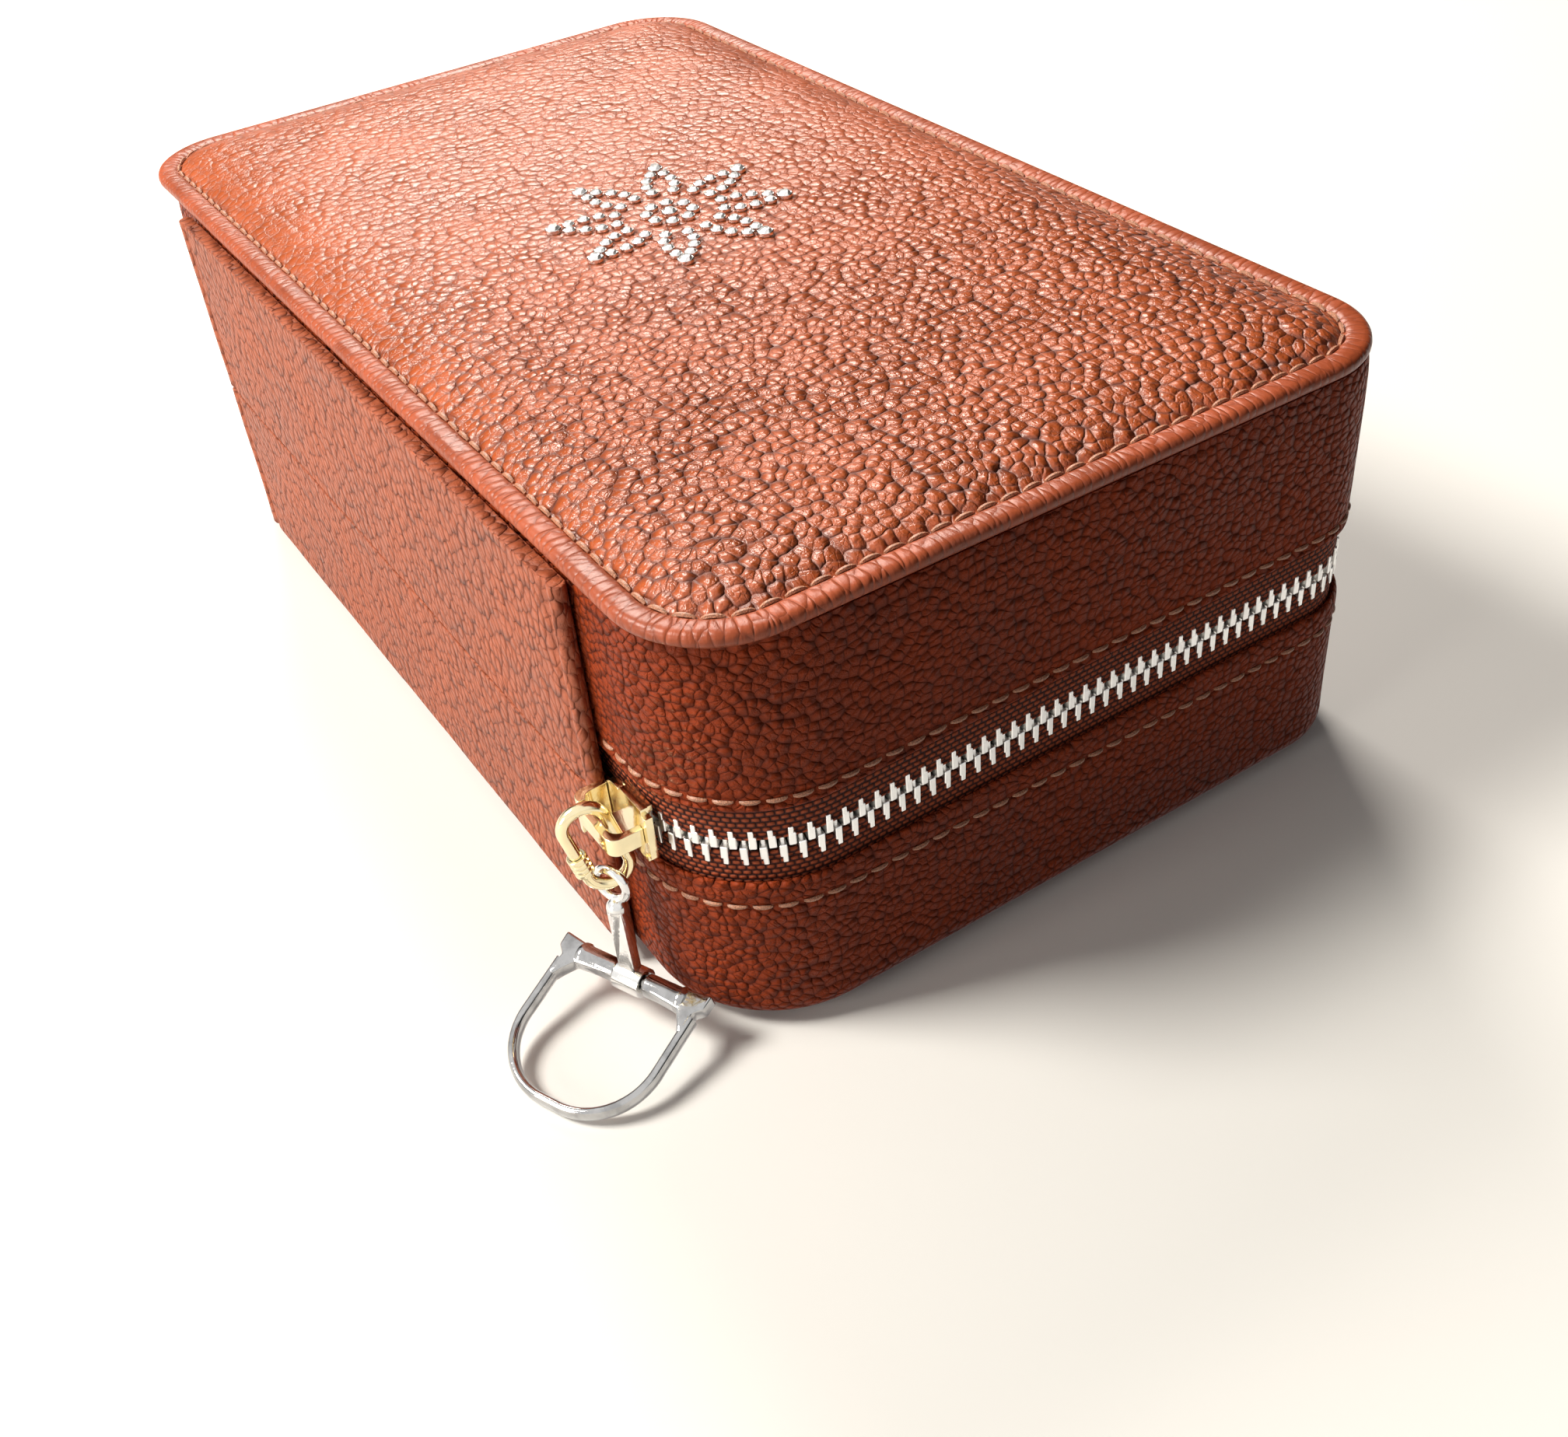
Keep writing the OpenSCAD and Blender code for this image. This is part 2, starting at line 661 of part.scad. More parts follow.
module lid_top_panel() color(tan_leather) {
    under = [for (k = [len(pad_steps) - 1:-1:1]) let (d = pad_start + pad_run * pad_steps[k])
        rim_ring(d + 0.6, max(pad_z(d) - top_t, rim_low + 0.01 * k))];
    edge = [[rim_band + 2.4, rim_low], [0.5, rim_low], [0.15, rim_low + rim_t * 0.35],
        [0.25, rim_high - rim_t * 0.25], [0.9, rim_high], [rim_band - 0.7, rim_high - 0.05],
        [rim_band, rim_high - 0.4]];
    over = [for (t = pad_steps) let (d = pad_start + pad_run * t) rim_ring(d, pad_z(d))];
    loft(concat(under, [for (p = edge) rim_ring(p[0], p[1])], over));
}

module lid_foam_pad() color([0.9, 0.88, 0.8]) {
    foam_steps = [0.16, 0.28, 0.44, 0.64, 0.84, 1];
    top = [for (t = foam_steps) let (d = pad_start + pad_run * t)
        rim_ring(d + 1.1, max(pad_z(d) - top_t - 0.25, rim_low + 0.3))];
    loft(concat([rim_ring(pad_start + pad_run * foam_steps[0] + 1.2, rim_low)], top));
}

module lid_lining() color(suede) difference() {
    case_slab(lining_in, lid_board_low, lid_lining_low + lining_t);
    case_slab(lining_out, lid_board_low - 1, lid_lining_low);
}

mirror_lip = 2;
mirror_edge = 3;
mirror_high = lid_lining_low - fit;
frame_t = mirror_t + 0.9;

module mirror() color([0.8, 0.85, 0.88]) translate([0, 0, mirror_high - mirror_t / 2])
    cube([mirror_l, mirror_w, mirror_t], center = true);

module mirror_frame() color(dark_leather) difference() {
    translate([0, 0, mirror_high - frame_t / 2])
        cube([mirror_l + 2 * mirror_edge, mirror_w + 2 * mirror_edge, frame_t], center = true);
    translate([0, 0, mirror_high - frame_t / 2])
        cube([mirror_l - 2 * mirror_lip, mirror_w - 2 * mirror_lip, frame_t + 2], center = true);
    translate([0, 0, mirror_high - mirror_t / 2 + 0.5 - fit])
        cube([mirror_l + 2 * fit, mirror_w + 2 * fit, mirror_t + 1], center = true);
}

// ---- Crystal rosette: leaves outlined in stones round a ring ----

stone_h = 1.1;
leaf_stones = 5;
leaf_from = 6.2;

module stone(r) {
    cylinder(stone_h * 0.3, r, r, $fn = 32);
    translate([0, 0, stone_h * 0.3]) cylinder(stone_h * 0.7, r, r * 0.55, $fn = 32);
}

function leaf_point(t, side) =
    [leaf_from + (rosette_r - leaf_from) * t, side * sin(180 * pow(t, 0.8)) * rosette_r * 0.125];

module crystal_rosette() color([0.93, 0.95, 0.97]) translate([0, rim_shift, dome_top + 0.02]) {
    stone(stone_r);
    for (k = [0:leaves - 1]) rotate([0, 0, (k + 0.5) * 360 / leaves]) {
        translate([leaf_from - 2.4, 0]) stone(stone_r * 0.85);
        translate([rosette_r, 0]) stone(stone_r);
        for (j = [1:leaf_stones - 1], side = [-1, 1])
            translate(leaf_point(j / leaf_stones, side)) stone(stone_r * 0.8);
    }
}

base_board();
base_leather_wall();
base_underside();
base_lining();
spine_panel_lower();
spine_fold();
zip_tape_lower();
zip_teeth_lower();
zip_teeth_lower_corner();
zip_stops_lower();
divider_long();
divider_front();
dividers_spine_side();
ring_rolls();
lid_board();
lid_leather_wall();
lid_rim_lip();
lid_top_panel();
lid_foam_pad();
lid_lining();
mirror();
mirror_frame();
crystal_rosette();
spine_panel_upper();
zip_tape_upper();
zip_tape_upper_corner();
zip_teeth_upper();
zip_teeth_upper_corner();
zip_stops_upper();
slider_body();
slider_bridge();
pull_link();
link_collar();
eye_bar();
stirrup_frame();
stirrup_pin();
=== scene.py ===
"""Visual model of a zip-round leather jewellery case with a padded lid and a stirrup pull."""
import logging
import math
from dataclasses import dataclass, field
from enum import Enum
from typing import Any, Iterable, Sequence

import bmesh
import bpy
import numpy as np
from mathutils import Matrix, Vector, noise


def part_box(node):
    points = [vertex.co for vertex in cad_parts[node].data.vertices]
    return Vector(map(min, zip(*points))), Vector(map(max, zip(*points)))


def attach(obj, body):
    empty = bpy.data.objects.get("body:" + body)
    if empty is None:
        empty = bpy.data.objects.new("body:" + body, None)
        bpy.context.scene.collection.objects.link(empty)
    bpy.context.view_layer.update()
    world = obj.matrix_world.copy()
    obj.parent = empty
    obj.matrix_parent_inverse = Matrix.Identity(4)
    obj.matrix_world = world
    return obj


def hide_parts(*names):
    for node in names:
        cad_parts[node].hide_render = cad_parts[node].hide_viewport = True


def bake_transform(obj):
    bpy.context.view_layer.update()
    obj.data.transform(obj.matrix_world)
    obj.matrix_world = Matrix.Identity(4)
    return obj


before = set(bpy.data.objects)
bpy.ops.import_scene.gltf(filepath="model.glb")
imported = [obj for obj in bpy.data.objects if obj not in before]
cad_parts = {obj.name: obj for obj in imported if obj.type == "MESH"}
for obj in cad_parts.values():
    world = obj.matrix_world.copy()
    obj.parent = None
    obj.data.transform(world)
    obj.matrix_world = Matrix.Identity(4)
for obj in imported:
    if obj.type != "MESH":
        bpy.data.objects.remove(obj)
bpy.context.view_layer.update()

log = logging.getLogger("jewellery_case")
MM = 0.001
Colour = tuple[float, float, float]
MERGE_M = 3e-6
FLAT_DEG = 0.6


# ---------------------------------------------------------------- shader maths


class Value:
    """A float socket that adds Math nodes to its tree when it is used in an expression."""

    def __init__(self, shop: "NodeShop", socket: Any) -> None:
        """Wraps a socket of the tree that shop writes."""
        self.shop, self.socket = shop, socket

    def _math(self, operation: str, *values: Any) -> "Value":
        """Adds a Math node."""
        node = self.shop.add("ShaderNodeMath", {"operation": operation}, dict(enumerate(values)))
        return Value(self.shop, node.outputs[0])

    def __add__(self, other: Any) -> "Value":
        """Sum."""
        return self._math("ADD", self, other)

    def __sub__(self, other: Any) -> "Value":
        """Difference."""
        return self._math("SUBTRACT", self, other)

    def __rsub__(self, other: Any) -> "Value":
        """Difference from a number."""
        return self._math("SUBTRACT", other, self)

    def __mul__(self, other: Any) -> "Value":
        """Product."""
        return self._math("MULTIPLY", self, other)

    def __truediv__(self, other: Any) -> "Value":
        """Quotient."""
        return self._math("DIVIDE", self, other)

    def __pow__(self, other: Any) -> "Value":
        """Power."""
        return self._math("POWER", self, other)

    __radd__ = __add__
    __rmul__ = __mul__

    def wave(self) -> "Value":
        """Sine."""
        return self._math("SINE", self)

    def least(self, other: Any) -> "Value":
        """The smaller of the two."""
        return self._math("MINIMUM", self, other)

    def most(self, other: Any) -> "Value":
        """The larger of the two."""
        return self._math("MAXIMUM", self, other)

    def part(self) -> "Value":
        """Fractional part."""
        return self._math("FRACT", self)

    def ease(self, low: float, high: float, to_low: float = 0.0, to_high: float = 1.0) -> "Value":
        """Smooth step."""
        node = self.shop.add("ShaderNodeMapRange", {"interpolation_type": "SMOOTHSTEP"},
                             {"Value": self, "From Min": low, "From Max": high,
                              "To Min": to_low, "To Max": to_high})
        return Value(self.shop, node.outputs["Result"])


class NodeShop:
    """Writes the nodes of one material or world."""

    def __init__(self, name: str, store: Any = None) -> None:
        """Makes an empty material of that name, or an entry of another store."""
        self.owner = (bpy.data.materials if store is None else store).new(name)
        self.owner.use_nodes = True
        self.tree = self.owner.node_tree
        self.tree.nodes.clear()

    def add(self, kind: str, settings: dict[str, Any] | None = None,
            inputs: dict[Any, Any] | None = None) -> bpy.types.Node:
        """Adds a node.

        Args:
            kind: The node's type.
            settings: Its settings, set first.
            inputs: Its sockets by name or index, with values, links or wrapped values.

        Returns:
            The node.
        """
        node = self.tree.nodes.new(kind)
        for key, value in (settings or {}).items():
            setattr(node, key, value)
        for key, value in (inputs or {}).items():
            self.feed(node.inputs[key], value)
        return node

    def feed(self, socket: Any, value: Any) -> None:
        """Gives a socket a value, or a link where the value is one."""
        if isinstance(value, Value):
            value = value.socket
        if isinstance(value, bpy.types.NodeSocket):
            self.tree.links.new(value, socket)
        elif isinstance(value, tuple) and socket.type == "RGBA":
            socket.default_value = (*value, 1.0)
        else:
            socket.default_value = value

    def place(self, space: "Space", across: float = 1.0, scale: Colour | None = None,
              turn: Colour = (0.0, 0.0, 0.0)) -> Any:
        """A coordinate in millimetres.

        Args:
            space: Where it is read from.
            across: Stretch of its second axis.
            scale: Scale from metres, where it isn't plain millimetres.
            turn: Turn in radians.

        Returns:
            A vector socket.
        """
        if space is Space.SURFACE:
            source = self.add("ShaderNodeUVMap", {"uv_map": "Surface"}).outputs["UV"]
        else:
            source = self.add("ShaderNodeTexCoord").outputs["Object"]
        scale = scale or (1 / MM, across / MM, 1 / MM)
        return self.add("ShaderNodeMapping", None, {"Vector": source, "Rotation": turn, "Scale": scale}).outputs[0]

    def noise(self, vector: Any, scale: float, detail: float = 3.0, rough: float = 0.5) -> Value:
        """Noise about one half."""
        node = self.add("ShaderNodeTexNoise", {"noise_dimensions": "3D"},
                        {"Vector": vector, "Scale": scale, "Detail": detail, "Roughness": rough})
        return Value(self, node.outputs[0])

    def warp(self, vector: Any, scale: float, amount: float) -> Any:
        """Coordinate pushed about by noise.

        Args:
            vector: Coordinate.
            scale: Cycles of the noise per unit.
            amount: Largest push.

        Returns:
            A vector socket.
        """
        swirl = self.add("ShaderNodeTexNoise", None, {"Vector": vector, "Scale": scale, "Detail": 1.0})
        middle = self.vector("SUBTRACT", {0: swirl.outputs[1], 1: (0.5, 0.5, 0.5)})
        push = self.vector("SCALE", {0: middle, "Scale": amount})
        return self.vector("ADD", {0: vector, 1: push})

    def vector(self, operation: str, inputs: dict[Any, Any]) -> Any:
        """A vector worked out from others."""
        return self.add("ShaderNodeVectorMath", {"operation": operation}, inputs).outputs[0]

    def cells(self, vector: Any, scale: float, edge: bool = True, flat: bool = True, loose: float = 0.9) -> Any:
        """Voronoi cells.

        Args:
            vector: Coordinate.
            scale: Cells per unit.
            edge: Distance to the cell's edge; otherwise the node itself.
            flat: In two dimensions.
            loose: Randomness of the cells.

        Returns:
            The distance, or the node.
        """
        node = self.add("ShaderNodeTexVoronoi",
                        {"voronoi_dimensions": "2D" if flat else "3D",
                         "feature": "DISTANCE_TO_EDGE" if edge else "F1"},
                        {"Vector": vector, "Scale": scale, "Randomness": loose})
        return Value(self, node.outputs["Distance"]) if edge else node

    def blend(self, amount: Any, low: Any, high: Any) -> Any:
        """Mixes two colours."""
        return self.add("ShaderNodeMix", {"data_type": "RGBA"}, {0: amount, 6: low, 7: high}).outputs[2]

    def relief(self, height: Value) -> Any:
        """A bump from a height in millimetres."""
        return self.add("ShaderNodeBump", None, {"Height": height, "Distance": MM, "Strength": 1.0}).outputs[0]

    def finish(self, **inputs: Any) -> bpy.types.Material:
        """Closes the material with one shader.

        Args:
            **inputs: The shader's sockets, with _ for a space.

        Returns:
            The material.
        """
        shader = self.add("ShaderNodeBsdfPrincipled", None, {k.replace("_", " "): v for k, v in inputs.items()})
        self.add("ShaderNodeOutputMaterial", None, {"Surface": shader.outputs[0]})
        return self.owner


class Space(Enum):
    """Where a finish reads its place from."""

    SURFACE = "Surface"
    SOLID = "Object"
    PLAN = "Object from above"


class Grain(Enum):
    """Pebble size and depth in millimetres, and how strongly painted shade darkens the creases."""

    BOLD = (1.85, 0.52, 0.70)
    FINE = (1.5, 0.70, 0.36)
    SOFT = (1.6, 0.50, 0.45)
    FAINT = (1.3, 0.05, 0.3)


# ---------------------------------------------------------------- finishes


def shade(colour: Colour, factor: float) -> Colour:
    """A lighter or darker tone of a colour."""
    return tuple(min(1.0, factor * c) for c in colour)


@dataclass(frozen=True)
class PebbledLeather:
    """Drum-dyed leather with domed pebbles between creases."""

    name: str
    grain: Grain
    space: Space
    lit: Colour = (0.40, 0.080, 0.018)
    # Colour of the painted shade in creases, wrinkles and the valleys between pebbles
    crease_shade: Colour = (0.050, 0.006, 0.003)
    roughness: float = 0.38
    stretch: float = 1.0
    gloss: float = 0.18
    fade: float = 1.0

    def make(self) -> bpy.types.Material:
        """Builds the material."""
        shop = NodeShop(self.name)
        size, depth, crease_shade_amount = self.grain.value
        flat = self.space is not Space.SOLID
        here = shop.place(self.space, self.stretch)
        bent = shop.warp(shop.warp(here, 0.12, 1.0 * size), 1.2 / size, 0.38 * size)
        edge = shop.cells(bent, 1.0 / size, flat=flat, loose=0.85)
        crown = Value(shop, shop.cells(bent, 1.0 / size, edge=False, flat=flat, loose=0.85).outputs["Distance"])
        fine = shop.cells(shop.warp(here, 1.3, 0.7), 2.3 / size, flat=flat, loose=1.0)
        patch = shop.noise(here, 0.055, 3.0, 0.55)
        pores = shop.noise(here, 2.6, 3.0, 0.65)
        mood = shop.noise(here, 0.3, 3.0)
        dome = 1.0 - crown * crown * 1.7 + edge.ease(0.0, 0.14) * 0.15
        strength = mood.ease(0.30, 0.66, 0.62, 1.15)
        if self.fade < 1.0:
            along = shop.add("ShaderNodeSeparateXYZ", None, {0: here}).outputs[0]
            strength = strength * Value(shop, along).ease(-75.0, 40.0, 1.0, self.fade)
        wrinkle = (1.0 - (fine / 0.14).least(1.0)) * mood.ease(0.35, 0.65, 1.0, 0.2)
        height = dome * strength * depth - wrinkle * (0.07 * depth) + pores * (0.07 * depth) + patch * 0.5
        crease_mask = (1.0 - edge.ease(0.0, 0.20)) * strength
        tone = shop.blend(patch.ease(0.3, 0.7), shade(self.lit, 0.84), shade(self.lit, 1.12))
        # Painted shade: wrinkles, crease lines and the valleys between pebbles are darkened toward the crease shade
        # colour
        tone = shop.blend(wrinkle * (0.3 * crease_shade_amount), tone, self.crease_shade)
        tone = shop.blend((crease_mask * 0.35 + crown.ease(0.30, 0.80) * strength * 0.65) * crease_shade_amount, tone, self.crease_shade)
        # Painted highlight: the crown of each pebble is lightened
        tone = shop.blend((dome - 0.7).most(0.0) * 0.7, tone, shade(self.lit, 1.3))
        rough = patch.ease(0.3, 0.7, self.roughness - 0.04, self.roughness + 0.05) + crease_mask * 0.2 + pores * 0.06
        return shop.finish(Base_Color=tone, Roughness=rough, Specular_IOR_Level=self.gloss, Normal=shop.relief(height))


@dataclass(frozen=True)
class RolledLeather:
    """Leather turned over the rim, with close wrinkles that cross the roll."""

    name: str
    lit: Colour = (0.37, 0.074, 0.024)
    painted_shade: Colour = (0.07, 0.010, 0.005)

    def make(self) -> bpy.types.Material:
        """Builds the material."""
        shop = NodeShop(self.name)
        here = shop.warp(shop.place(Space.SURFACE, 0.3), 0.7, 0.7)
        pinch = shop.cells(here, 0.62, loose=1.0)
        fine = shop.noise(shop.place(Space.SURFACE, 0.42), 1.5, 3.0, 0.6)
        patch = shop.noise(shop.place(Space.SURFACE), 0.08, 3.0)
        round_off = 1.0 - (pinch / 0.36).least(1.0)
        height = fine * 0.08 - round_off * round_off * 0.13 * patch.ease(0.3, 0.6, 0.35, 1.1)
        tone = shop.blend(patch.ease(0.3, 0.7), shade(self.lit, 0.82), shade(self.lit, 1.12))
        # Painted shade: the edges of the wrinkles across the roll are darkened
        tone = shop.blend((1.0 - pinch.ease(0.0, 0.12)) * 0.25, tone, self.painted_shade)
        rough = patch.ease(0.3, 0.7, 0.30, 0.40) + fine * 0.08
        return shop.finish(Base_Color=tone, Roughness=rough, Specular_IOR_Level=0.4, Normal=shop.relief(height))


@dataclass(frozen=True)
class SmoothLeather:
    """Skived, folded leather with creases across its fold and faint pores."""

    name: str
    space: Space
    lit: Colour = (0.27, 0.052, 0.018)
    painted_shade: Colour = (0.09, 0.015, 0.006)
    roughness: float = 0.46

    def make(self) -> bpy.types.Material:
        """Builds the material."""
        shop = NodeShop(self.name)
        here = shop.place(self.space)
        across = shop.place(self.space, 0.26)
        fold = shop.noise(shop.warp(across, 0.5, 0.8), 0.8, 3.0, 0.6)
        fine = shop.cells(shop.warp(here, 0.9, 0.9), 1.0, flat=self.space is Space.SURFACE, loose=1.0)
        patch = shop.noise(here, 0.09, 3.0)
        line = 1.0 - fine.ease(0.0, 0.14)
        tone = shop.blend(patch.ease(0.3, 0.7), shade(self.lit, 0.85), shade(self.lit, 1.12))
        # Painted shade: the fine crease lines are darkened
        tone = shop.blend(line * 0.4, tone, self.painted_shade)
        height = fold * 0.22 - line * 0.035 + patch * 0.3
        rough = patch.ease(0.3, 0.7, self.roughness - 0.05, self.roughness + 0.08) + line * 0.12
        return shop.finish(Base_Color=tone, Roughness=rough, Specular_IOR_Level=0.2, Normal=shop.relief(height))


@dataclass(frozen=True)
class WovenTape:
    """Zip tape in a coarse basket weave with a corded edge."""

    name: str
    lit: Colour = (0.42, 0.090, 0.036)
    painted_shade: Colour = (0.030, 0.004, 0.002)
    warp_mm: float = 1.25
    weft_mm: float = 0.86
    depth: float = 0.34

    def make(self) -> bpy.types.Material:
        """Builds the material."""
        shop = NodeShop(self.name)
        here = shop.warp(shop.place(Space.SURFACE), 0.8, 0.16)
        axes = shop.add("ShaderNodeSeparateXYZ", None, {0: here})
        along, across = (Value(shop, axes.outputs[i]) for i in (0, 1))
        rows = across / self.weft_mm
        across_row = rows.part()
        picks = along / self.warp_mm + (rows - across_row) * 0.5
        strand = (across_row * math.pi).wave() * ((picks.part() * math.pi).wave() ** 0.7)
        fuzz = shop.noise(here, 4.0, 3.0)
        height = strand * self.depth + fuzz * 0.05
        # Painted shade and light: each strand goes from the shade colour at its edges to the lit colour at its crown
        tone = shop.blend(strand.ease(0.2, 0.8), self.painted_shade, self.lit)
        tone = shop.blend(fuzz.ease(0.45, 0.75) * 0.3 * strand, tone, shade(self.lit, 1.7))
        return shop.finish(Base_Color=tone, Roughness=0.7, Specular_IOR_Level=0.2, Normal=shop.relief(height))


@dataclass(frozen=True)
class Plated:
    """Polished plated metal with fine wipe marks."""

    name: str
    colour: Colour
    roughness: float = 0.14
    marks: float = 0.006
    tarnish: float = 0.25

    def make(self) -> bpy.types.Material:
        """Builds the material."""
        shop = NodeShop(self.name)
        here = shop.place(Space.SOLID)
        wipe = shop.noise(shop.place(Space.SOLID, scale=(3200.0, 500.0, 900.0), turn=(0.5, 0.3, 0.9)), 0.9, 3.0, 0.65)
        cloud = shop.noise(here, 0.35, 3.0, 0.6)
        tone = shop.blend(cloud.ease(0.35, 0.75) * self.tarnish, self.colour,
                          shade(self.colour, 0.5))
        rough = cloud.ease(0.3, 0.7, self.roughness * 0.75, self.roughness * 1.3) + wipe * 0.05
        return shop.finish(Base_Color=tone, Metallic=1.0, Roughness=rough,
                           Normal=shop.relief(wipe * self.marks + cloud * 0.05))


@dataclass(frozen=True)
class Thread:
    """Twisted waxed thread."""

    name: str
    colour: Colour = (0.62, 0.27, 0.15)

    def make(self) -> bpy.types.Material:
        """Builds the material."""
        shop = NodeShop(self.name)
        here = shop.place(Space.SOLID)
        ply = shop.noise(shop.warp(here, 1.0, 0.5), 4.5, 2.0, 0.6)
        tone = shop.blend(ply.ease(0.35, 0.7), shade(self.colour, 0.5), self.colour)
        return shop.finish(Base_Color=tone, Roughness=0.45, Coat_Weight=0.2, Coat_Roughness=0.3,
                           Normal=shop.relief(ply * 0.16))


@dataclass(frozen=True)
class Suede:
    """Brushed lining with a short nap."""

    name: str
    colour: Colour = (0.60, 0.47, 0.35)

    def make(self) -> bpy.types.Material:
        """Builds the material."""
        shop = NodeShop(self.name)
        here = shop.place(Space.SOLID)
        nap = shop.noise(here, 2.6, 4.0, 0.7)
        stroke = shop.noise(shop.warp(here, 0.05, 9.0), 0.06, 3.0, 0.5)
        tone = shop.blend(stroke.ease(0.35, 0.65), shade(self.colour, 0.8), self.colour)
        tone = shop.blend(nap.ease(0.4, 0.7) * 0.35, tone, shade(self.colour, 1.25))
        return shop.finish(Base_Color=tone, Roughness=0.92, Sheen_Weight=0.4, Sheen_Roughness=0.5,
                           Normal=shop.relief(nap * 0.12 + stroke * 0.2))


@dataclass(frozen=True)
class Board:
    """Pressed board or foam that the leather covers."""

    name: str
    colour: Colour
    fleck: Colour
    cell_mm: float = 0.8

    def make(self) -> bpy.types.Material:
        """Builds the material."""
        shop = NodeShop(self.name)
        here = shop.place(Space.SOLID)
        speck = shop.cells(here, 1.0 / self.cell_mm, flat=False)
        cloud = shop.noise(here, 0.2, 4.0)
        tone = shop.blend(speck.ease(0.0, 0.25), self.fleck, self.colour)
        tone = shop.blend(cloud.ease(0.4, 0.7) * 0.3, tone, self.fleck)
        return shop.finish(Base_Color=tone, Roughness=0.85, Normal=shop.relief(speck.ease(0.0, 0.3) * 0.08))


@dataclass(frozen=True)
class CutCrystal:
    """Foil-backed crystal whose facets flash pale."""

    name: str

    def make(self) -> bpy.types.Material:
        """Builds the material."""
        shop = NodeShop(self.name)
        here = shop.place(Space.SOLID)
        fire = shop.cells(here, 0.9, edge=False, flat=False)
        hue = shop.add("ShaderNodeHueSaturation", None, {"Color": fire.outputs["Color"], "Saturation": 0.10})
        tone = shop.blend(0.82, hue.outputs[0], (1.0, 0.99, 0.98))
        glint = shop.noise(here, 1.3, 1.0)
        return shop.finish(Base_Color=tone, Metallic=0.6, Roughness=glint.ease(0.3, 0.7, 0.08, 0.2),
                           Coat_Weight=0.6, Coat_Roughness=0.03, IOR=1.56)


@dataclass(frozen=True)
class Silvering:
    """Mirror glass with a faint bloom."""

    name: str

    def make(self) -> bpy.types.Material:
        """Builds the material."""
        shop = NodeShop(self.name)
        bloom = shop.noise(shop.place(Space.SOLID), 0.03, 4.0, 0.6)
        tone = shop.blend(bloom.ease(0.4, 0.8) * 0.3, (0.90, 0.92, 0.92), (0.78, 0.81, 0.82))
        return shop.finish(Base_Color=tone, Metallic=1.0, Roughness=bloom.ease(0.4, 0.8, 0.015, 0.05))


class Finishes:
    """Every finish of the case, made once."""

    def __init__(self) -> None:
        """Makes the materials."""
        self.top = PebbledLeather("LidTopLeather", Grain.BOLD, Space.PLAN, roughness=0.28, gloss=0.7,
                                  fade=0.35).make()
        self.rim = RolledLeather("RimLeather").make()
        # The wall leather is a darker copy of the top's colour: painted shade standing in for the shade on the walls
        self.wall = PebbledLeather("WallLeather", Grain.FINE, Space.SURFACE, roughness=0.42,
                                   lit=(0.26, 0.036, 0.007), gloss=0.13, stretch=1.15).make()
        self.spine = PebbledLeather("SpineLeather", Grain.SOFT, Space.SURFACE, roughness=0.46,
                                    lit=(0.37, 0.090, 0.036), stretch=0.7, gloss=0.4).make()
        self.under = PebbledLeather("UndersideLeather", Grain.FAINT, Space.SOLID, lit=(0.26, 0.08, 0.045)).make()
        self.edge = SmoothLeather("EdgeLeather", Space.SURFACE).make()
        self.trim = SmoothLeather("TrimLeather", Space.SOLID).make()
        self.tape = WovenTape("ZipTape").make()
        self.teeth = Plated("ZipTeethMetal", (0.97, 0.95, 0.91), roughness=0.34, tarnish=0.1).make()
        self.gold = Plated("PaleGold", (0.97, 0.83, 0.52), roughness=0.12, tarnish=0.15).make()
        self.silver = Plated("PolishedSilver", (0.84, 0.82, 0.79), roughness=0.10).make()
        self.chrome = Plated("StirrupChrome", (0.52, 0.51, 0.50), roughness=0.06, tarnish=0.6).make()
        self.thread = Thread("TanThread").make()
        self.suede = Suede("LiningSuede").make()
        self.roll = Suede("RollSuede", (0.66, 0.53, 0.41)).make()
        self.board = Board("BoardCore", (0.50, 0.41, 0.30), (0.32, 0.25, 0.17)).make()
        self.foam = Board("PadFoam", (0.82, 0.79, 0.68), (0.62, 0.58, 0.47), 1.4).make()
        self.crystal = CutCrystal("ClearCrystal").make()
        self.mirror = Silvering("MirrorGlass").make()


# ---------------------------------------------------------------- mesh helpers


def piece(name: str, mesh: bpy.types.Mesh, material: bpy.types.Material | None = None) -> bpy.types.Object:
    """Puts a mesh into the scene.

    Args:
        name: Piece name.
        mesh: Its mesh, in place.
        material: Its finish.

    Returns:
        The object, at the origin.
    """
    obj = bpy.data.objects.new(name, mesh)
    bpy.context.scene.collection.objects.link(obj)
    if material:
        mesh.materials.clear()
        mesh.materials.append(material)
    return obj


def set_down(obj: bpy.types.Object, body: str, slot: str, *nodes: str) -> bpy.types.Object:
    """Ties a finished piece to its body.

    Args:
        obj: The piece.
        body: Body that it rides on.
        slot: Material slot of the record; not used.
        *nodes: Nodes that it stands for.

    Returns:
        The piece.
    """
    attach(obj, body)
    if nodes:
        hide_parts(*nodes)
    log.info("%s on %s: %d faces", obj.name, body, len(obj.data.polygons))
    return obj


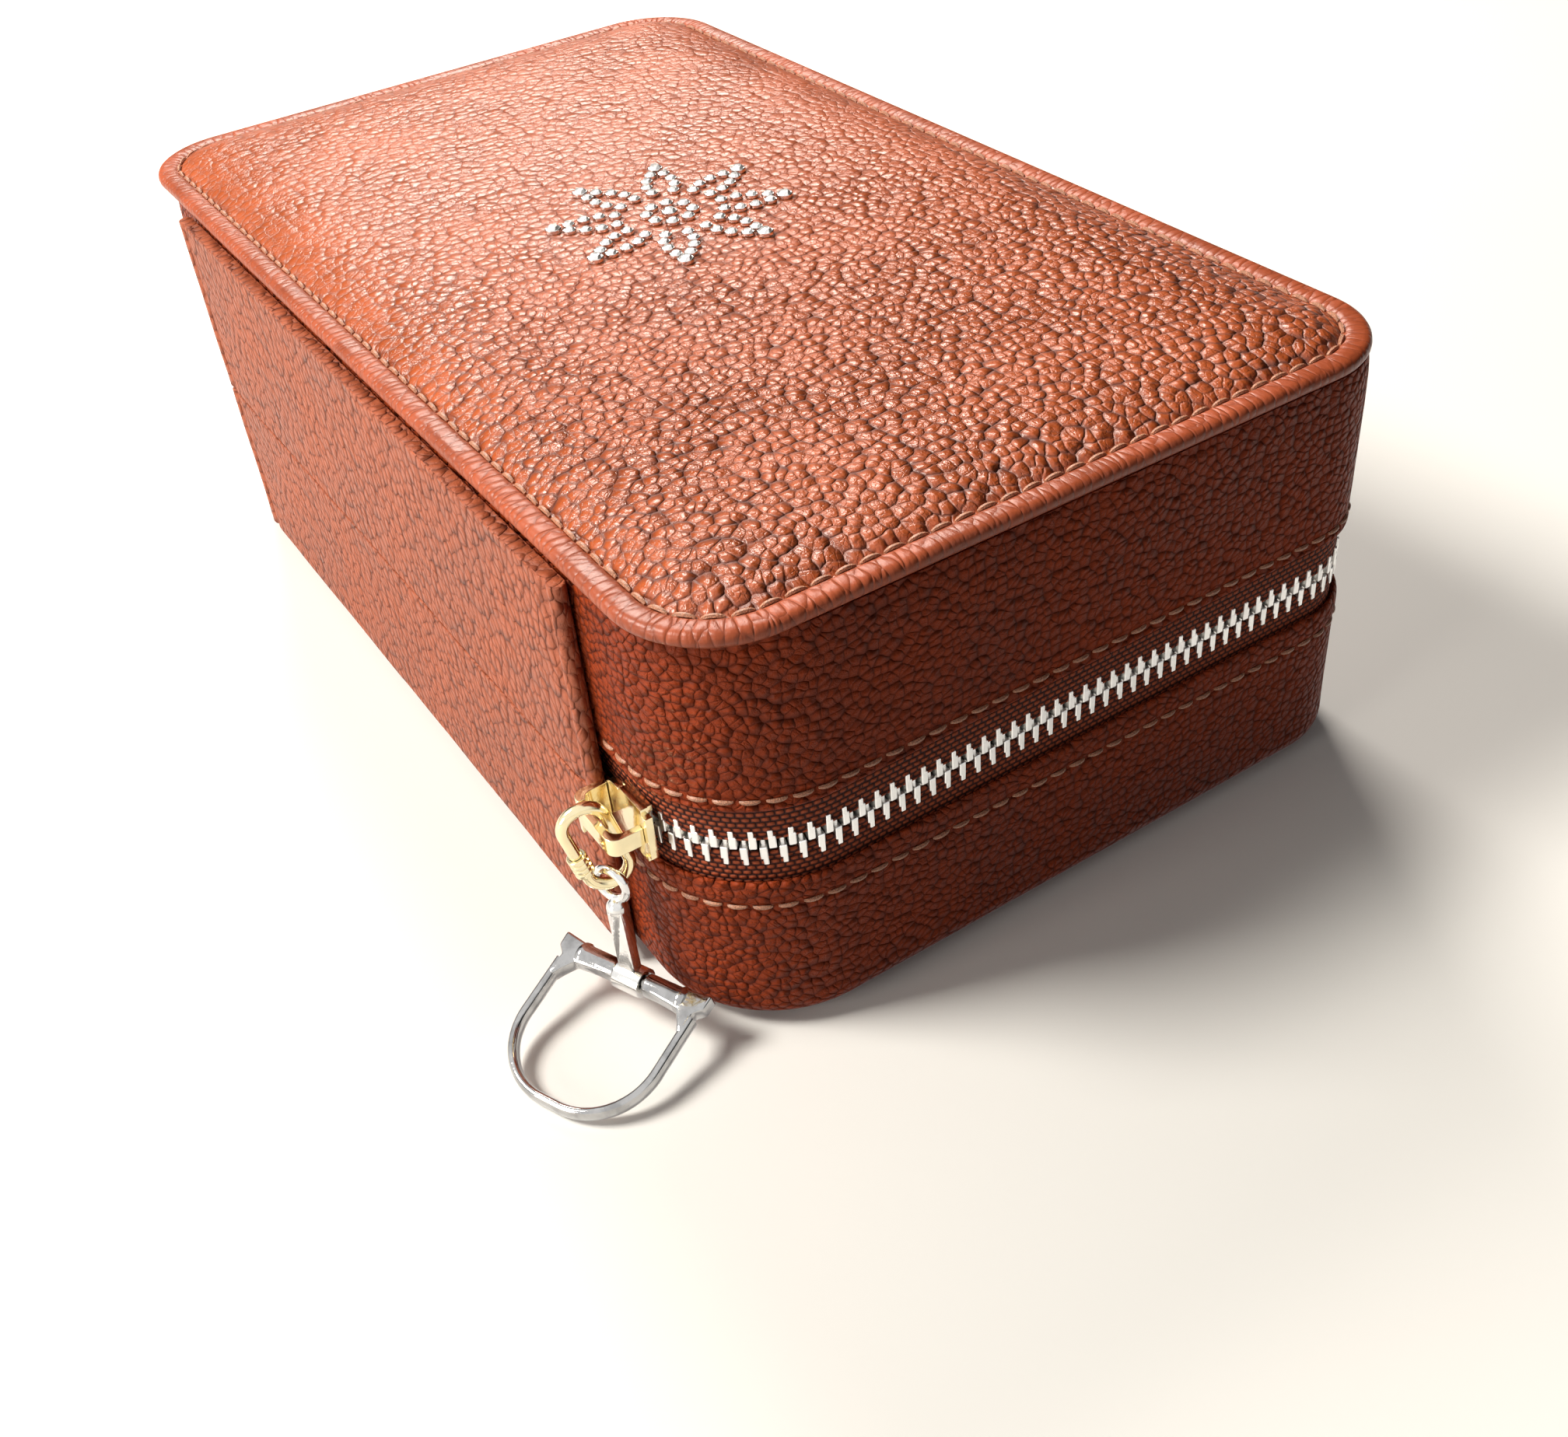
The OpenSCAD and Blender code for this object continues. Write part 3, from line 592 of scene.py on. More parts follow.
def loft(name: str, rings: np.ndarray, wrap: bool = True, tube: bool = False, caps: bool = False,
         sharp: float = 50.0) -> bpy.types.Mesh:
    """A surface through rows of points, with a map of its lengths.

    Args:
        name: Mesh name.
        rings: Array of rows, points and coordinates, in millimetres.
        wrap: Whether each row closes on itself.
        tube: Whether the last row joins the first.
        caps: Whether the first and last rows are closed with faces.
        sharp: Angle in degrees past which an edge is sharp.

    Returns:
        The mesh, in metres.
    """
    rows, count = rings.shape[:2]
    step = np.linalg.norm(np.roll(rings, -1, axis=1) - rings, axis=2).max(axis=0)
    u = np.concatenate([[0.0], np.cumsum(step)])
    rise = np.linalg.norm(np.roll(rings, -1, axis=0) - rings, axis=2).mean(axis=1)
    v = np.concatenate([[0.0], np.cumsum(rise)])
    js = np.arange(rows if tube else rows - 1)
    cs = np.arange(count if wrap else count - 1)
    j, c = (a.ravel() for a in np.meshgrid(js, cs, indexing="ij"))
    jn, cn = (j + 1) % rows, (c + 1) % count
    faces = np.stack([j * count + c, j * count + cn, jn * count + cn, jn * count + c], axis=1)
    uv = np.stack([np.stack([u[c], v[j]], 1), np.stack([u[c + 1], v[j]], 1),
                   np.stack([u[c + 1], v[j + 1]], 1), np.stack([u[c], v[j + 1]], 1)], axis=1).reshape(-1, 2)
    all_faces = faces.tolist()
    extra = []
    if caps:
        for row, base in ((0, 0), (rows - 1, (rows - 1) * count)):
            all_faces.append(list(range(base, base + count)))
            extra.append(rings[row][:, :2])
    mesh = bpy.data.meshes.new(name)
    mesh.from_pydata((rings.reshape(-1, 3) * MM).tolist(), [], all_faces)
    layer = mesh.uv_layers.new(name="Surface")
    layer.data.foreach_set("uv", (np.concatenate([uv] + extra) * MM).astype(np.float32).ravel())
    return tidy(mesh, sharp)


def poured(shape: bmesh.types.BMesh, mesh: bpy.types.Mesh | str) -> bpy.types.Mesh:
    """Writes a working shape into a mesh, or a new one of that name, and frees it."""
    if isinstance(mesh, str):
        mesh = bpy.data.meshes.new(mesh)
    shape.to_mesh(mesh)
    shape.free()
    return mesh


def shaded(mesh: bpy.types.Mesh, sharp: float) -> bpy.types.Mesh:
    """Shades a mesh smooth between edges sharper than an angle in degrees."""
    mesh.shade_smooth()
    mesh.set_sharp_from_angle(angle=math.radians(sharp))
    return mesh


def arc(x: float, y: float, r: float, angles: Iterable[float]) -> list[tuple[float, float]]:
    """Points of a circle in a plane, at angles in degrees."""
    return [(x + r * math.cos(math.radians(a)), y + r * math.sin(math.radians(a))) for a in angles]


def headings(points: np.ndarray) -> np.ndarray:
    """Unit vectors from each point's last neighbour to its next, on a closed line."""
    ahead = np.roll(points, -1, axis=0) - np.roll(points, 1, axis=0)
    return ahead / np.linalg.norm(ahead, axis=1)[:, None]


def tidy(mesh: bpy.types.Mesh, sharp: float = 50.0) -> bpy.types.Mesh:
    """Turns a closed mesh's faces outwards and shades it smooth between sharp edges.

    Args:
        mesh: The mesh.
        sharp: Angle in degrees past which an edge is sharp.

    Returns:
        The mesh.
    """
    shape = bmesh.new()
    shape.from_mesh(mesh)
    bmesh.ops.recalc_face_normals(shape, faces=shape.faces)
    shaded(poured(shape, mesh), sharp).update()
    return mesh


def softened(node: str, name: str, width: float, material: bpy.types.Material, segments: int = 3,
             angle: float = 32.0) -> bpy.types.Object:
    """A copy of a CAD node with its edges rounded over.

    Args:
        node: The node.
        name: Piece name.
        width: Radius of the edges, in millimetres.
        material: Its finish.
        segments: Faces across an edge.
        angle: Angle past which an edge is rounded.

    Returns:
        The piece.
    """
    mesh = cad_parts[node].data.copy()
    mesh.name = name
    shape = bmesh.new()
    shape.from_mesh(mesh)
    bmesh.ops.remove_doubles(shape, verts=shape.verts, dist=MERGE_M)
    bmesh.ops.dissolve_limit(shape, angle_limit=math.radians(FLAT_DEG), verts=shape.verts, edges=shape.edges)
    obj = piece(name, poured(shape, mesh), material)
    edge = obj.modifiers.new("Edges", "BEVEL")
    edge.width, edge.segments = width * MM, segments
    edge.limit_method, edge.angle_limit = "ANGLE", math.radians(angle)
    edge.use_clamp_overlap = True
    return flatten(obj, 38.0)


def flatten(obj: bpy.types.Object, sharp: float = 50.0) -> bpy.types.Object:
    """Bakes a piece's modifiers into its mesh.

    Args:
        obj: The piece.
        sharp: Angle in degrees past which an edge is sharp.

    Returns:
        The same piece with a plain mesh.
    """
    graph = bpy.context.evaluated_depsgraph_get()
    mesh = bpy.data.meshes.new_from_object(obj.evaluated_get(graph), preserve_all_data_layers=True, depsgraph=graph)
    obj.modifiers.clear()
    obj.data = shaded(mesh, sharp)
    return obj


def sweep(name: str, path: np.ndarray, radius: float, sides: int) -> bpy.types.Mesh:
    """A round wire along a closed plane path.

    Args:
        name: Mesh name.
        path: Points in millimetres, in one plane.
        radius: Wire radius.
        sides: Faces round the wire.

    Returns:
        The mesh.
    """
    centre = path.mean(axis=0)
    plane = np.linalg.svd(path - centre)[2][2]
    side = np.cross(headings(path), plane)
    turns = np.linspace(0, 2 * np.pi, sides, endpoint=False)
    rows = [p + radius * (np.outer(np.cos(turns), s) + np.outer(np.sin(turns), plane)) for p, s in zip(path, side)]
    return loft(name, np.array(rows), tube=True)


def lathe(name: str, place: Matrix, profile: Sequence[tuple[float, float]], sides: int = 40) -> bpy.types.Mesh:
    """A turned part about its local Y axis.

    Args:
        name: Mesh name.
        place: Where it stands, in millimetres.
        profile: Radius and height pairs; a closed section where it doesn't reach the axis.
        sides: Faces round it.

    Returns:
        The mesh.
    """
    turns = np.linspace(0, 2 * np.pi, sides, endpoint=False)
    rows = [[place @ Vector((r * math.cos(t), h, r * math.sin(t))) for t in turns] for r, h in profile]
    solid = profile[0][0] < 0.2
    return loft(name, np.array(rows, float), tube=not solid, caps=solid, sharp=35.0)


# ---------------------------------------------------------------- plans and paths


@dataclass
class Plan:
    """A rounded outline of the case, with its points set in by any distance."""

    half_x: float = 101.2
    half_y: float = 59.2
    front_r: float = 14.0
    spine_r: float = 20.0
    shift: float = 0.0
    arc: int = 22
    long: int = 110
    short: int = 60

    def ring(self, inset: float) -> np.ndarray:
        """Points of the outline.

        Args:
            inset: Distance in from the outline.

        Returns:
            The points, as many for every inset, from the middle of the spine side round the case.
        """
        a, b = self.half_x - inset, self.half_y - inset
        points: list[tuple[float, float]] = []
        corners = []
        for k, (sx, sy) in enumerate(((-1, 1), (-1, -1), (1, -1), (1, 1))):
            r = max((self.spine_r if sy > 0 else self.front_r) - inset, 0.6)
            angles = [90 + 90 * k + 90 * t / self.arc for t in range(self.arc + 1)]
            corners.append(arc(sx * (a - r), sy * (b - r), r, angles))
        for k, (corner, n) in enumerate(zip(corners, (self.short, self.long) * 2)):
            (x0, y0), (x1, y1) = corner[-1], corners[(k + 1) % 4][0]
            points += corner + [(x0 + (x1 - x0) * t / n, y0 + (y1 - y0) * t / n) for t in range(1, n)]
        out = np.array(points)
        out[:, 1] += self.shift
        return np.roll(out, self.long // 2, axis=0)

    def rows(self, section: Iterable[tuple[float, float]]) -> np.ndarray:
        """Rings for a section."""
        return np.array([np.c_[self.ring(d), np.full(len(self.ring(d)), z)] for d, z in section])


@dataclass
class ZipRun:
    """The chain's path round the three open sides."""

    half_x: float = 101.2
    half_y: float = 59.2
    front_r: float = 14.0
    spine_r: float = 20.0
    inset: float = 1.5
    z: float = 33.4

    def __post_init__(self) -> None:
        """Works out where each stretch ends."""
        spine, front = (math.pi / 2 * (r - self.inset) for r in (self.spine_r, self.front_r))
        end, long = 2 * self.half_y - self.spine_r - self.front_r, 2 * (self.half_x - self.front_r)
        self.ends = np.cumsum([spine, end, front, long, front, end, spine])

    def at(self, s: float, out: float = 0.0) -> tuple[float, float, float]:
        """A place on the path.

        Args:
            s: Distance along it.
            out: Distance out from it.

        Returns:
            Its x and y, and the heading in radians.
        """
        e, c, rs, rf = self.ends, self.inset, self.spine_r, self.front_r
        hx, hy = self.half_x, self.half_y

        def bend(cx: float, cy: float, r: float, start: float, gone: float) -> tuple[float, float, float]:
            """A place on one rounded corner."""
            turn = math.radians(start) + gone / r
            return cx + (r + out) * math.cos(turn), cy + (r + out) * math.sin(turn), turn + math.pi / 2

        if s < 0:
            return -(hx - rs) - s, hy - c + out, math.pi
        if s < e[0]:
            return bend(-(hx - rs), hy - rs, rs - c, 90, s)
        if s < e[1]:
            return -(hx - c) - out, hy - rs - (s - e[0]), 1.5 * math.pi
        if s < e[2]:
            return bend(-(hx - rf), -(hy - rf), rf - c, 180, s - e[1])
        if s < e[3]:
            return -(hx - rf) + s - e[2], -(hy - c) - out, 0.0
        if s < e[4]:
            return bend(hx - rf, -(hy - rf), rf - c, 270, s - e[3])
        if s < e[5]:
            return hx - c + out, -(hy - rf) + s - e[4], math.pi / 2
        if s < e[6]:
            return bend(hx - rs, hy - rs, rs - c, 0, s - e[5])
        return hx - rs - (s - e[6]), hy - c + out, math.pi

    def line(self, start: float, stop: float, step: float, z: float, out: float = 0.0) -> np.ndarray:
        """Points along the path."""
        n = max(2, round((stop - start) / step))
        return np.array([[*self.at(start + (stop - start) * k / n, out)[:2], z] for k in range(n + 1)])


# ---------------------------------------------------------------- repeats along a path


class Facing(Enum):
    """Which way a repeated shape's top looks."""

    UP = 0.0
    OUT = 1.0


class Stamper:
    """Geometry Nodes that set a shape on points, then realize and dress it."""

    def __init__(self, name: str, sockets: dict[str, str]) -> None:
        """Opens a tree with the named inputs, besides the shape, its finish and a seed."""
        tree = self.tree = bpy.data.node_groups.new(name, "GeometryNodeTree")
        for label, kind in {**sockets, "Shape": "Object", "Seed": "Int", "Finish": "Material"}.items():
            tree.interface.new_socket(label, in_out="INPUT", socket_type="NodeSocket" + kind)
        tree.interface.new_socket("Geometry", in_out="OUTPUT", socket_type="NodeSocketGeometry")
        self.given = tree.nodes.new("NodeGroupInput").outputs

    def add(self, kind: str, inputs: dict[Any, Any], **settings: Any) -> Any:
        """Adds a node with its settings and inputs, and returns its outputs."""
        node = self.tree.nodes.new(kind)
        for key, value in settings.items():
            setattr(node, key, value)
        for key, value in inputs.items():
            if isinstance(value, bpy.types.NodeSocket):
                self.tree.links.new(value, node.inputs[key])
            else:
                node.inputs[key].default_value = value
        return node.outputs

    def spin(self, low: Any, high: Any) -> Any:
        """A random turn about Z between two angles, one for each point."""
        angle = self.add("FunctionNodeRandomValue", {2: low, 3: high, "Seed": self.given["Seed"]}, data_type="FLOAT")
        return self.add("ShaderNodeCombineXYZ", {2: angle[1]})[0]

    def close(self, points: Any, turn: Any, **inputs: Any) -> None:
        """Sets the shape on the points and ends the tree."""
        shape = self.add("GeometryNodeObjectInfo", {"Object": self.given["Shape"]}, transform_space="ORIGINAL")
        stamps = self.add("GeometryNodeInstanceOnPoints",
                          {"Points": points, "Instance": shape["Geometry"], "Rotation": turn, **inputs})
        real = self.add("GeometryNodeRealizeInstances", {0: stamps[0]})
        dressed = self.add("GeometryNodeSetMaterial", {"Geometry": real[0], "Material": self.given["Finish"]})
        self.add("NodeGroupOutput", {0: dressed[0]})

    def set_on(self, obj: bpy.types.Object, **values: Any) -> None:
        """Gives a piece the tree as a modifier, with its inputs by name."""
        mod = obj.modifiers.new("Repeat", "NODES")
        mod.node_group = self.tree
        names = {s.name: s.identifier for s in self.tree.interface.items_tree if s.in_out == "INPUT"}
        for label, value in values.items():
            mod[names[label.replace("_", " ")]] = value


class PathRepeat(Stamper):
    """Sets a shape along a path."""

    def __init__(self) -> None:
        """Builds the tree."""
        super().__init__("Repeat along a path",
                         {"Path": "Geometry", "Count": "Int", "Face out": "Float", "Tilt": "Float"})
        add, given = self.add, self.given
        curve = add("GeometryNodeMeshToCurve", {0: given["Path"]})
        even = add("GeometryNodeResampleCurve", {"Curve": curve[0], "Count": given["Count"]}, mode="COUNT")
        ahead = add("GeometryNodeInputTangent", {})
        side = add("ShaderNodeVectorMath", {0: ahead[0], 1: (0.0, 0.0, 1.0)}, operation="CROSS_PRODUCT")
        top = add("ShaderNodeMix", {0: given["Face out"], 4: (0.0, 0.0, 1.0), 5: side[0]}, data_type="VECTOR")
        turn = add("FunctionNodeAxesToRotation", {0: top[1], 1: ahead[0]}, primary_axis="Z", secondary_axis="X")
        low = add("ShaderNodeMath", {0: given["Tilt"], 1: -1.0}, operation="MULTIPLY")
        twist = self.spin(low[0], given["Tilt"])
        self.close(even[0], add("FunctionNodeRotateRotation", {0: turn[0], 1: twist}, rotation_space="LOCAL")[0])

    def run(self, name: str, paths: Sequence[tuple[np.ndarray, bool, int]], shape: bpy.types.Object,
            finish: bpy.types.Material, facing: Facing, tilt: float = 0.0, seed: int = 7) -> bpy.types.Object:
        """Sets the shape along paths and returns them as one plain piece.

        Args:
            name: Piece name.
            paths: Points in millimetres, whether they close, and how many shapes each takes.
            shape: The shape, about the origin.
            finish: Its material.
            facing: Which way the shape's top looks.
            tilt: Largest random turn, in radians.
            seed: Seed of the turns.

        Returns:
            The piece.
        """
        joined = bmesh.new()
        for points, closed, count in paths:
            mesh = bpy.data.meshes.new(name + "Path")
            edges = [(k, k + 1) for k in range(len(points) - 1)] + ([(len(points) - 1, 0)] if closed else [])
            mesh.from_pydata((points * MM).tolist(), edges, [])
            obj = piece(name + "Path", mesh)
            self.set_on(obj, Shape=shape, Count=count, Face_out=facing.value, Tilt=tilt, Seed=seed, Finish=finish)
            graph = bpy.context.evaluated_depsgraph_get()
            baked = bpy.data.meshes.new_from_object(obj.evaluated_get(graph), depsgraph=graph)
            joined.from_mesh(baked)
            bpy.data.objects.remove(obj)
            bpy.data.meshes.remove(baked)
        return piece(name, shaded(poured(joined, name), 35.0), finish)


class PointRepeat(Stamper):
    """Sets a shape on every point, at the point's size."""

    def __init__(self) -> None:
        """Builds the tree."""
        super().__init__("Set stones", {"Points": "Geometry"})
        dots = self.add("GeometryNodeMeshToPoints", {"Mesh": self.given["Points"]})
        size = self.add("GeometryNodeInputNamedAttribute", {"Name": "size"})
        self.close(dots[0], self.spin(0.0, 6.283), Scale=size["Attribute"])


def stitch_shape(length: float, thick: float) -> bpy.types.Object:
    """One sunk stitch: a bowed thread whose ends dive into the leather.

    Args:
        length: Length over its ends.
        thick: Thread diameter.

    Returns:
        The template.
    """
    rows = []
    for k in range(9):
        t = k / 8
        x = (t - 0.5) * length
        r = thick / 2 * (0.35 + 0.65 * math.sin(math.pi * min(max(t, 0.02), 0.98)) ** 0.35)
        z = thick * 0.42 * math.sin(math.pi * t) ** 0.6 - 0.12
        rows.append([(x, r * math.cos(a), z + r * math.sin(a)) for a in np.linspace(0, 2 * math.pi, 7)[:-1]])
    return bpy.data.objects.new("Stitch", loft("Stitch", np.array(rows), caps=True))


# ---------------------------------------------------------------- sub-assemblies


@dataclass
class PaddedLid:
    """Padded leather top with its flat stitched rim and the lip under it."""

    plan: Plan = field(default_factory=lambda: Plan(102.0, 59.2, 15.0, 15.0, 0.8, 30, 150, 84))
    low: float = 68.35
    high: float = 70.4
    dome: float = 2.6
    pad_start: float = 4.5
    pad_run: float = 20.0
    lip: tuple[float, float] = (67.4, 68.3)

    def pad_z(self, inset: float) -> float:
        """Height of the padding."""
        t = min(max((inset - self.pad_start) / self.pad_run, 0.0), 1.0)
        return self.high - 0.3 + (self.dome + 0.3) * (1 - (1 - t) ** 3) ** 0.75

    def build(self, finishes: Finishes, repeat: PathRepeat) -> None:
        """Builds the lid's top, lip and stitches."""
        hi = self.high
        rim = [(6.2, self.low), (3.0, self.low), (0.7, self.low), (0.28, 68.5), (0.05, 68.85), (0.0, 69.3),
               (0.08, 69.75), (0.32, 70.12), (0.75, hi - 0.03), (1.3, hi + 0.04), (2.0, hi + 0.05), (2.8, hi),
               (3.3, hi - 0.12), (3.65, hi - 0.36), (3.9, hi - 0.55), (4.15, hi - 0.58), (4.4, hi - 0.42)]
        start = self.pad_start
        over = [(d, self.pad_z(d)) for d in [start + 0.15, start + 0.4, start + 0.75, start + 1.2, start + 1.8,
                                             start + 2.5] + list(np.arange(start + 3.3, 57.6, 1.0))]
        under = [(d + 0.6, max(self.pad_z(d) - 1.2, self.low + 0.06))
                 for d in (24.5, 20.0, 15.0, 11.0, 8.0, 6.6)]
        under = [(57.0, under[0][1])] + under
        rows = self.plan.rows(under + rim + over)
        self._pucker(rows[len(under) + len(rim):], [d for d, _ in over])
        mesh = loft("lid_top", rows, caps=True)
        top = piece("lid_top", mesh, finishes.top)
        mesh.materials.append(finishes.rim)
        count = rows.shape[1]
        across = np.arange(len(mesh.polygons)) // count
        rolled = (across >= len(under)) & (across < len(under) + len(rim) - 4)
        mesh.polygons.foreach_set("material_index", rolled.astype(np.int32))
        set_down(top, "lid", "pebbled_leather", "lid_top_panel")

        low, high = self.lip
        section = [(2.1, low), (1.55, low + 0.06), (1.28, low + 0.25), (1.2, low + 0.45), (1.3, high - 0.22),
                   (1.6, high - 0.04), (2.1, high), (6.6, high), (6.8, high - 0.2), (6.8, low + 0.2), (6.6, low)]
        lip = piece("rim_lip", loft("rim_lip", self.plan.rows(section), tube=True), finishes.edge)
        set_down(lip, "lid", "smooth_leather", "lid_rim_lip")

        seam = self.plan.ring(4.02)
        seam = np.c_[seam, np.full(len(seam), hi - 0.36)]
        length = np.linalg.norm(np.roll(seam, -1, axis=0) - seam, axis=1).sum()
        stitches = repeat.run("rim_stitches", [(seam, True, round(length / 3.5))], stitch_shape(2.9, 0.7),
                              finishes.thread, Facing.UP, 0.05)
        set_down(stitches, "lid", "pebbled_leather")

    def _pucker(self, rows: np.ndarray, insets: Sequence[float]) -> None:
        """Presses soft waves into the padding, and folds where the seam gathers it."""
        for row, inset in zip(rows, insets):
            gone = inset - self.pad_start
            pull = math.exp(-gone / 3.2) * min(gone / 0.8, 1.0)
            calm = min(max(gone - 3.0, 0.0) / 14.0, 1.0)
            for point in row:
                where = Vector((point[0], point[1], 0.0))
                gather = noise.noise(where * 0.21 + Vector((3.1, 7.7, 0.0)))
                slack = noise.noise(where * 0.045)
                point[2] += pull * 0.42 * gather + calm * 0.10 * slack - calm * 0.08


@dataclass
class Rosette:
    """A generic rosette of crystals in cups, leaf outlines round a ring."""

    stone_r: float = 1.35
    reach: float = 19.0
    leaves: int = 8
    leaf_from: float = 6.2
    stones: int = 5
    z: float = 73.02
    shift: float = 0.8
    stagger: float = 0.39

    def spots(self) -> list[tuple[float, float, float]]:
        """Places and sizes of the stones."""
        out = [(0.0, 0.0, 1.0)]
        for k in range(self.leaves):
            turn = math.radians((k + 0.5) * 360 / self.leaves)
            leaf = [(self.leaf_from - 2.4, 0.0, 0.85), (self.reach, 0.0, 1.0)]
            for j in range(1, self.stones):
                t = j / self.stones
                for side in (-1, 1):
                    leaf.append((self.leaf_from + (self.reach - self.leaf_from) * t,
                                 side * math.sin(math.pi * t ** 0.8) * self.reach * 0.125, 0.8))
            out += [(x * math.cos(turn) - y * math.sin(turn), x * math.sin(turn) + y * math.cos(turn), s)
                    for x, y, s in leaf]
        return out

    def build(self, finishes: Finishes) -> None:
        """Builds the stones and their cups."""
        repeat = PointRepeat()
        gem = self._turned([(0.02, 0.30), (0.93, 0.30), (0.97, 0.36), (0.55, 0.78), (0.0, 0.80)], 8, True)
        cup = self._turned([(1.0, 0.0), (1.02, 0.2), (1.0, 0.42), (0.92, 0.48), (0.86, 0.40), (0.86, 0.04)], 16, False)
        spots = self.spots()
        for name, mesh, finish, slot in (("rosette_stones", gem, finishes.crystal, "crystal"),
                                         ("rosette_cups", cup, finishes.silver, "silver")):
            cloud = bpy.data.meshes.new(name)
            cloud.from_pydata([(x * MM, (y + self.shift) * MM, self.z * MM) for x, y, _ in spots], [], [])
            size = cloud.attributes.new("size", "FLOAT", "POINT")
            size.data.foreach_set("value", [s * self.stone_r * MM for _, _, s in spots])
            obj = piece(name, cloud)
            repeat.set_on(obj, Shape=bpy.data.objects.new(name, mesh), Finish=finish, Seed=11)
            flatten(obj, 12.0 if name == "rosette_stones" else 40.0)
            set_down(obj, "lid", slot, "crystal_rosette")

    def _turned(self, profile: Sequence[tuple[float, float]], sides: int, solid: bool) -> bpy.types.Mesh:
        """A faceted shape about Z, one unit in radius."""
        turns = np.linspace(0, 2 * np.pi, sides, endpoint=False)
        rows = []
        for k, (r, h) in enumerate(profile):
            shift, r = self.stagger * (k % 2) * solid, max(r, 0.01)
            rows.append([(r * math.cos(t + shift), r * math.sin(t + shift), h) for t in turns])
        mesh = loft("Turned", np.array(rows), tube=not solid, caps=solid, sharp=12.0)
        mesh.transform(Matrix.Scale(1000.0, 4))
        return mesh


@dataclass
class Walls:
    """Leather walls of the base and the lid, their stitches and the spine panels."""

    plan: Plan = field(default_factory=Plan)
    run: ZipRun = field(default_factory=ZipRun)
    base_h: float = 27.7
    lid_z: float = 40.2
    rim_z: float = 67.35
    roll_r: float = 4.2
    roll_low: float = 0.6
    leather: float = 1.1
    past: float = 4.6
    stitch: float = 3.4
    panel_half: float = 74.9
    panel_y: float = 59.3
    panel_t: float = 2.5

    def build(self, finishes: Finishes, repeat: PathRepeat) -> None:
        """Builds the walls, seams and panels."""
        centre = (self.roll_r, self.roll_low + self.roll_r)
        roll = arc(*centre, self.roll_r, range(270, 179, -10))
        back = arc(*centre, self.roll_r - self.leather, range(180, 271, 15))
        b = self.base_h
        base = roll + [(0.06, 7.0), (0.1, 11.0), (0.12, 16.0), (0.12, 21.0), (0.16, 22.6), (0.3, 23.1), (0.42, 23.45),
                      (0.32, 23.8), (0.08, 24.2), (0.0, 24.8), (0.0, 26.0), (0.04, 26.8), (0.14, 27.25),
                      (0.32, b - 0.12), (0.55, b), (0.78, b - 0.1), (0.98, b - 0.4), (1.1, b - 0.9), (1.1, 15.0)] + back
        z = self.lid_z
        lid = [(0.55, self.rim_z), (0.5, self.rim_z - 0.3), (0.36, self.rim_z - 1.2), (0.2, self.rim_z - 3.0),
               (0.1, 60.0), (0.1, 52.0), (0.1, 46.0), (0.14, 43.4), (0.22, 42.6), (0.42, 42.0), (0.3, 41.6),
               (0.08, 41.2), (0.0, 40.9), (0.06, 40.55), (0.26, 40.28), (0.55, z), (0.84, 40.3), (1.04, 40.6),
               (1.1, 41.0), (1.1, 52.0), (1.1, self.rim_z)]
        for body, section in (("base", base), ("lid", lid)):
            wall = piece(body + "_wall", loft(body + "_wall", self.plan.rows(section), tube=True), finishes.wall)
            set_down(wall, body, "pebbled_leather", body + "_leather_wall")
        end = float(self.run.ends[-1])
        for body, height in (("base", 23.45), ("lid", 41.98)):
            line = self.run.line(-self.past, end + self.past, 1.0, height, 1.2)
            length = np.linalg.norm(np.diff(line, axis=0), axis=1).sum()
            rows = repeat.run(body + "_stitches", [(line, False, round(length / self.stitch))],
                              stitch_shape(2.7, 0.68), finishes.thread, Facing.OUT, 0.07, 5)
            set_down(rows, body, "pebbled_leather")
        self._panel("lower", "base", 2.7, 33.1, finishes)
        self._panel("upper", "lid", 33.7, 66.9, finishes)

    def _panel(self, level: str, body: str, low: float, high: float, finishes: Finishes) -> None:
        """Builds one half of the spine panel: leather over board with a rolled bead at each end."""
        half, near, thick = self.panel_half, self.panel_y, self.panel_t
        r = thick / 2
        outer = arc(-half + r, near + r, r, range(180, 89, -15))
        outer += [(-half + x, near + thick - y) for x, y in
                  ((2.0, 0.12), (2.5, 0.42), (2.9, 0.5), (3.3, 0.36), (4.0, 0.12), (5.2, 0.02))]
        outer += [(x, near + thick) for x in np.linspace(-half + 7.0, 0.0, 40)]
        outer += [(-x, y) for x, y in reversed(outer[:-1])]
        inner = arc(half - r, near + r, r, range(-15, -91, -15))
        inner += [(x, near) for x in np.linspace(half - 3.0, -half + 3.0, 30)]
        inner += [(-x, y) for x, y in reversed(inner[:6])]
        ring = np.array(outer + inner)
        ahead = headings(ring)
        inward = np.c_[ahead[:, 1], -ahead[:, 0]]
        levels = [(0.25, low), (0.1, low + 0.04), (0.03, low + 0.12), (0.0, low + 0.3)]
        levels += [(0.0, z) for z in np.linspace(low + 2.0, high - 2.0, 14)]
        levels += [(0.0, high - 0.3), (0.03, high - 0.12), (0.1, high - 0.04), (0.25, high)]
        rows = []
        for inset, z in levels:
            points = ring + inward * inset
            wave = np.array([0.10 * noise.noise(Vector((x * 0.08, z * 0.12, 1.7))) if y > near + 1.4 else 0.0
                             for x, y in points])
            points[:, 1] += np.minimum(wave - 0.04, 0.0)
            rows.append(np.c_[points, np.full(len(points), z)])
        name = "spine_" + level
        panel = piece(name, loft(name, np.array(rows), caps=True), finishes.spine)
        set_down(panel, body, "smooth_leather", "spine_panel_" + level)


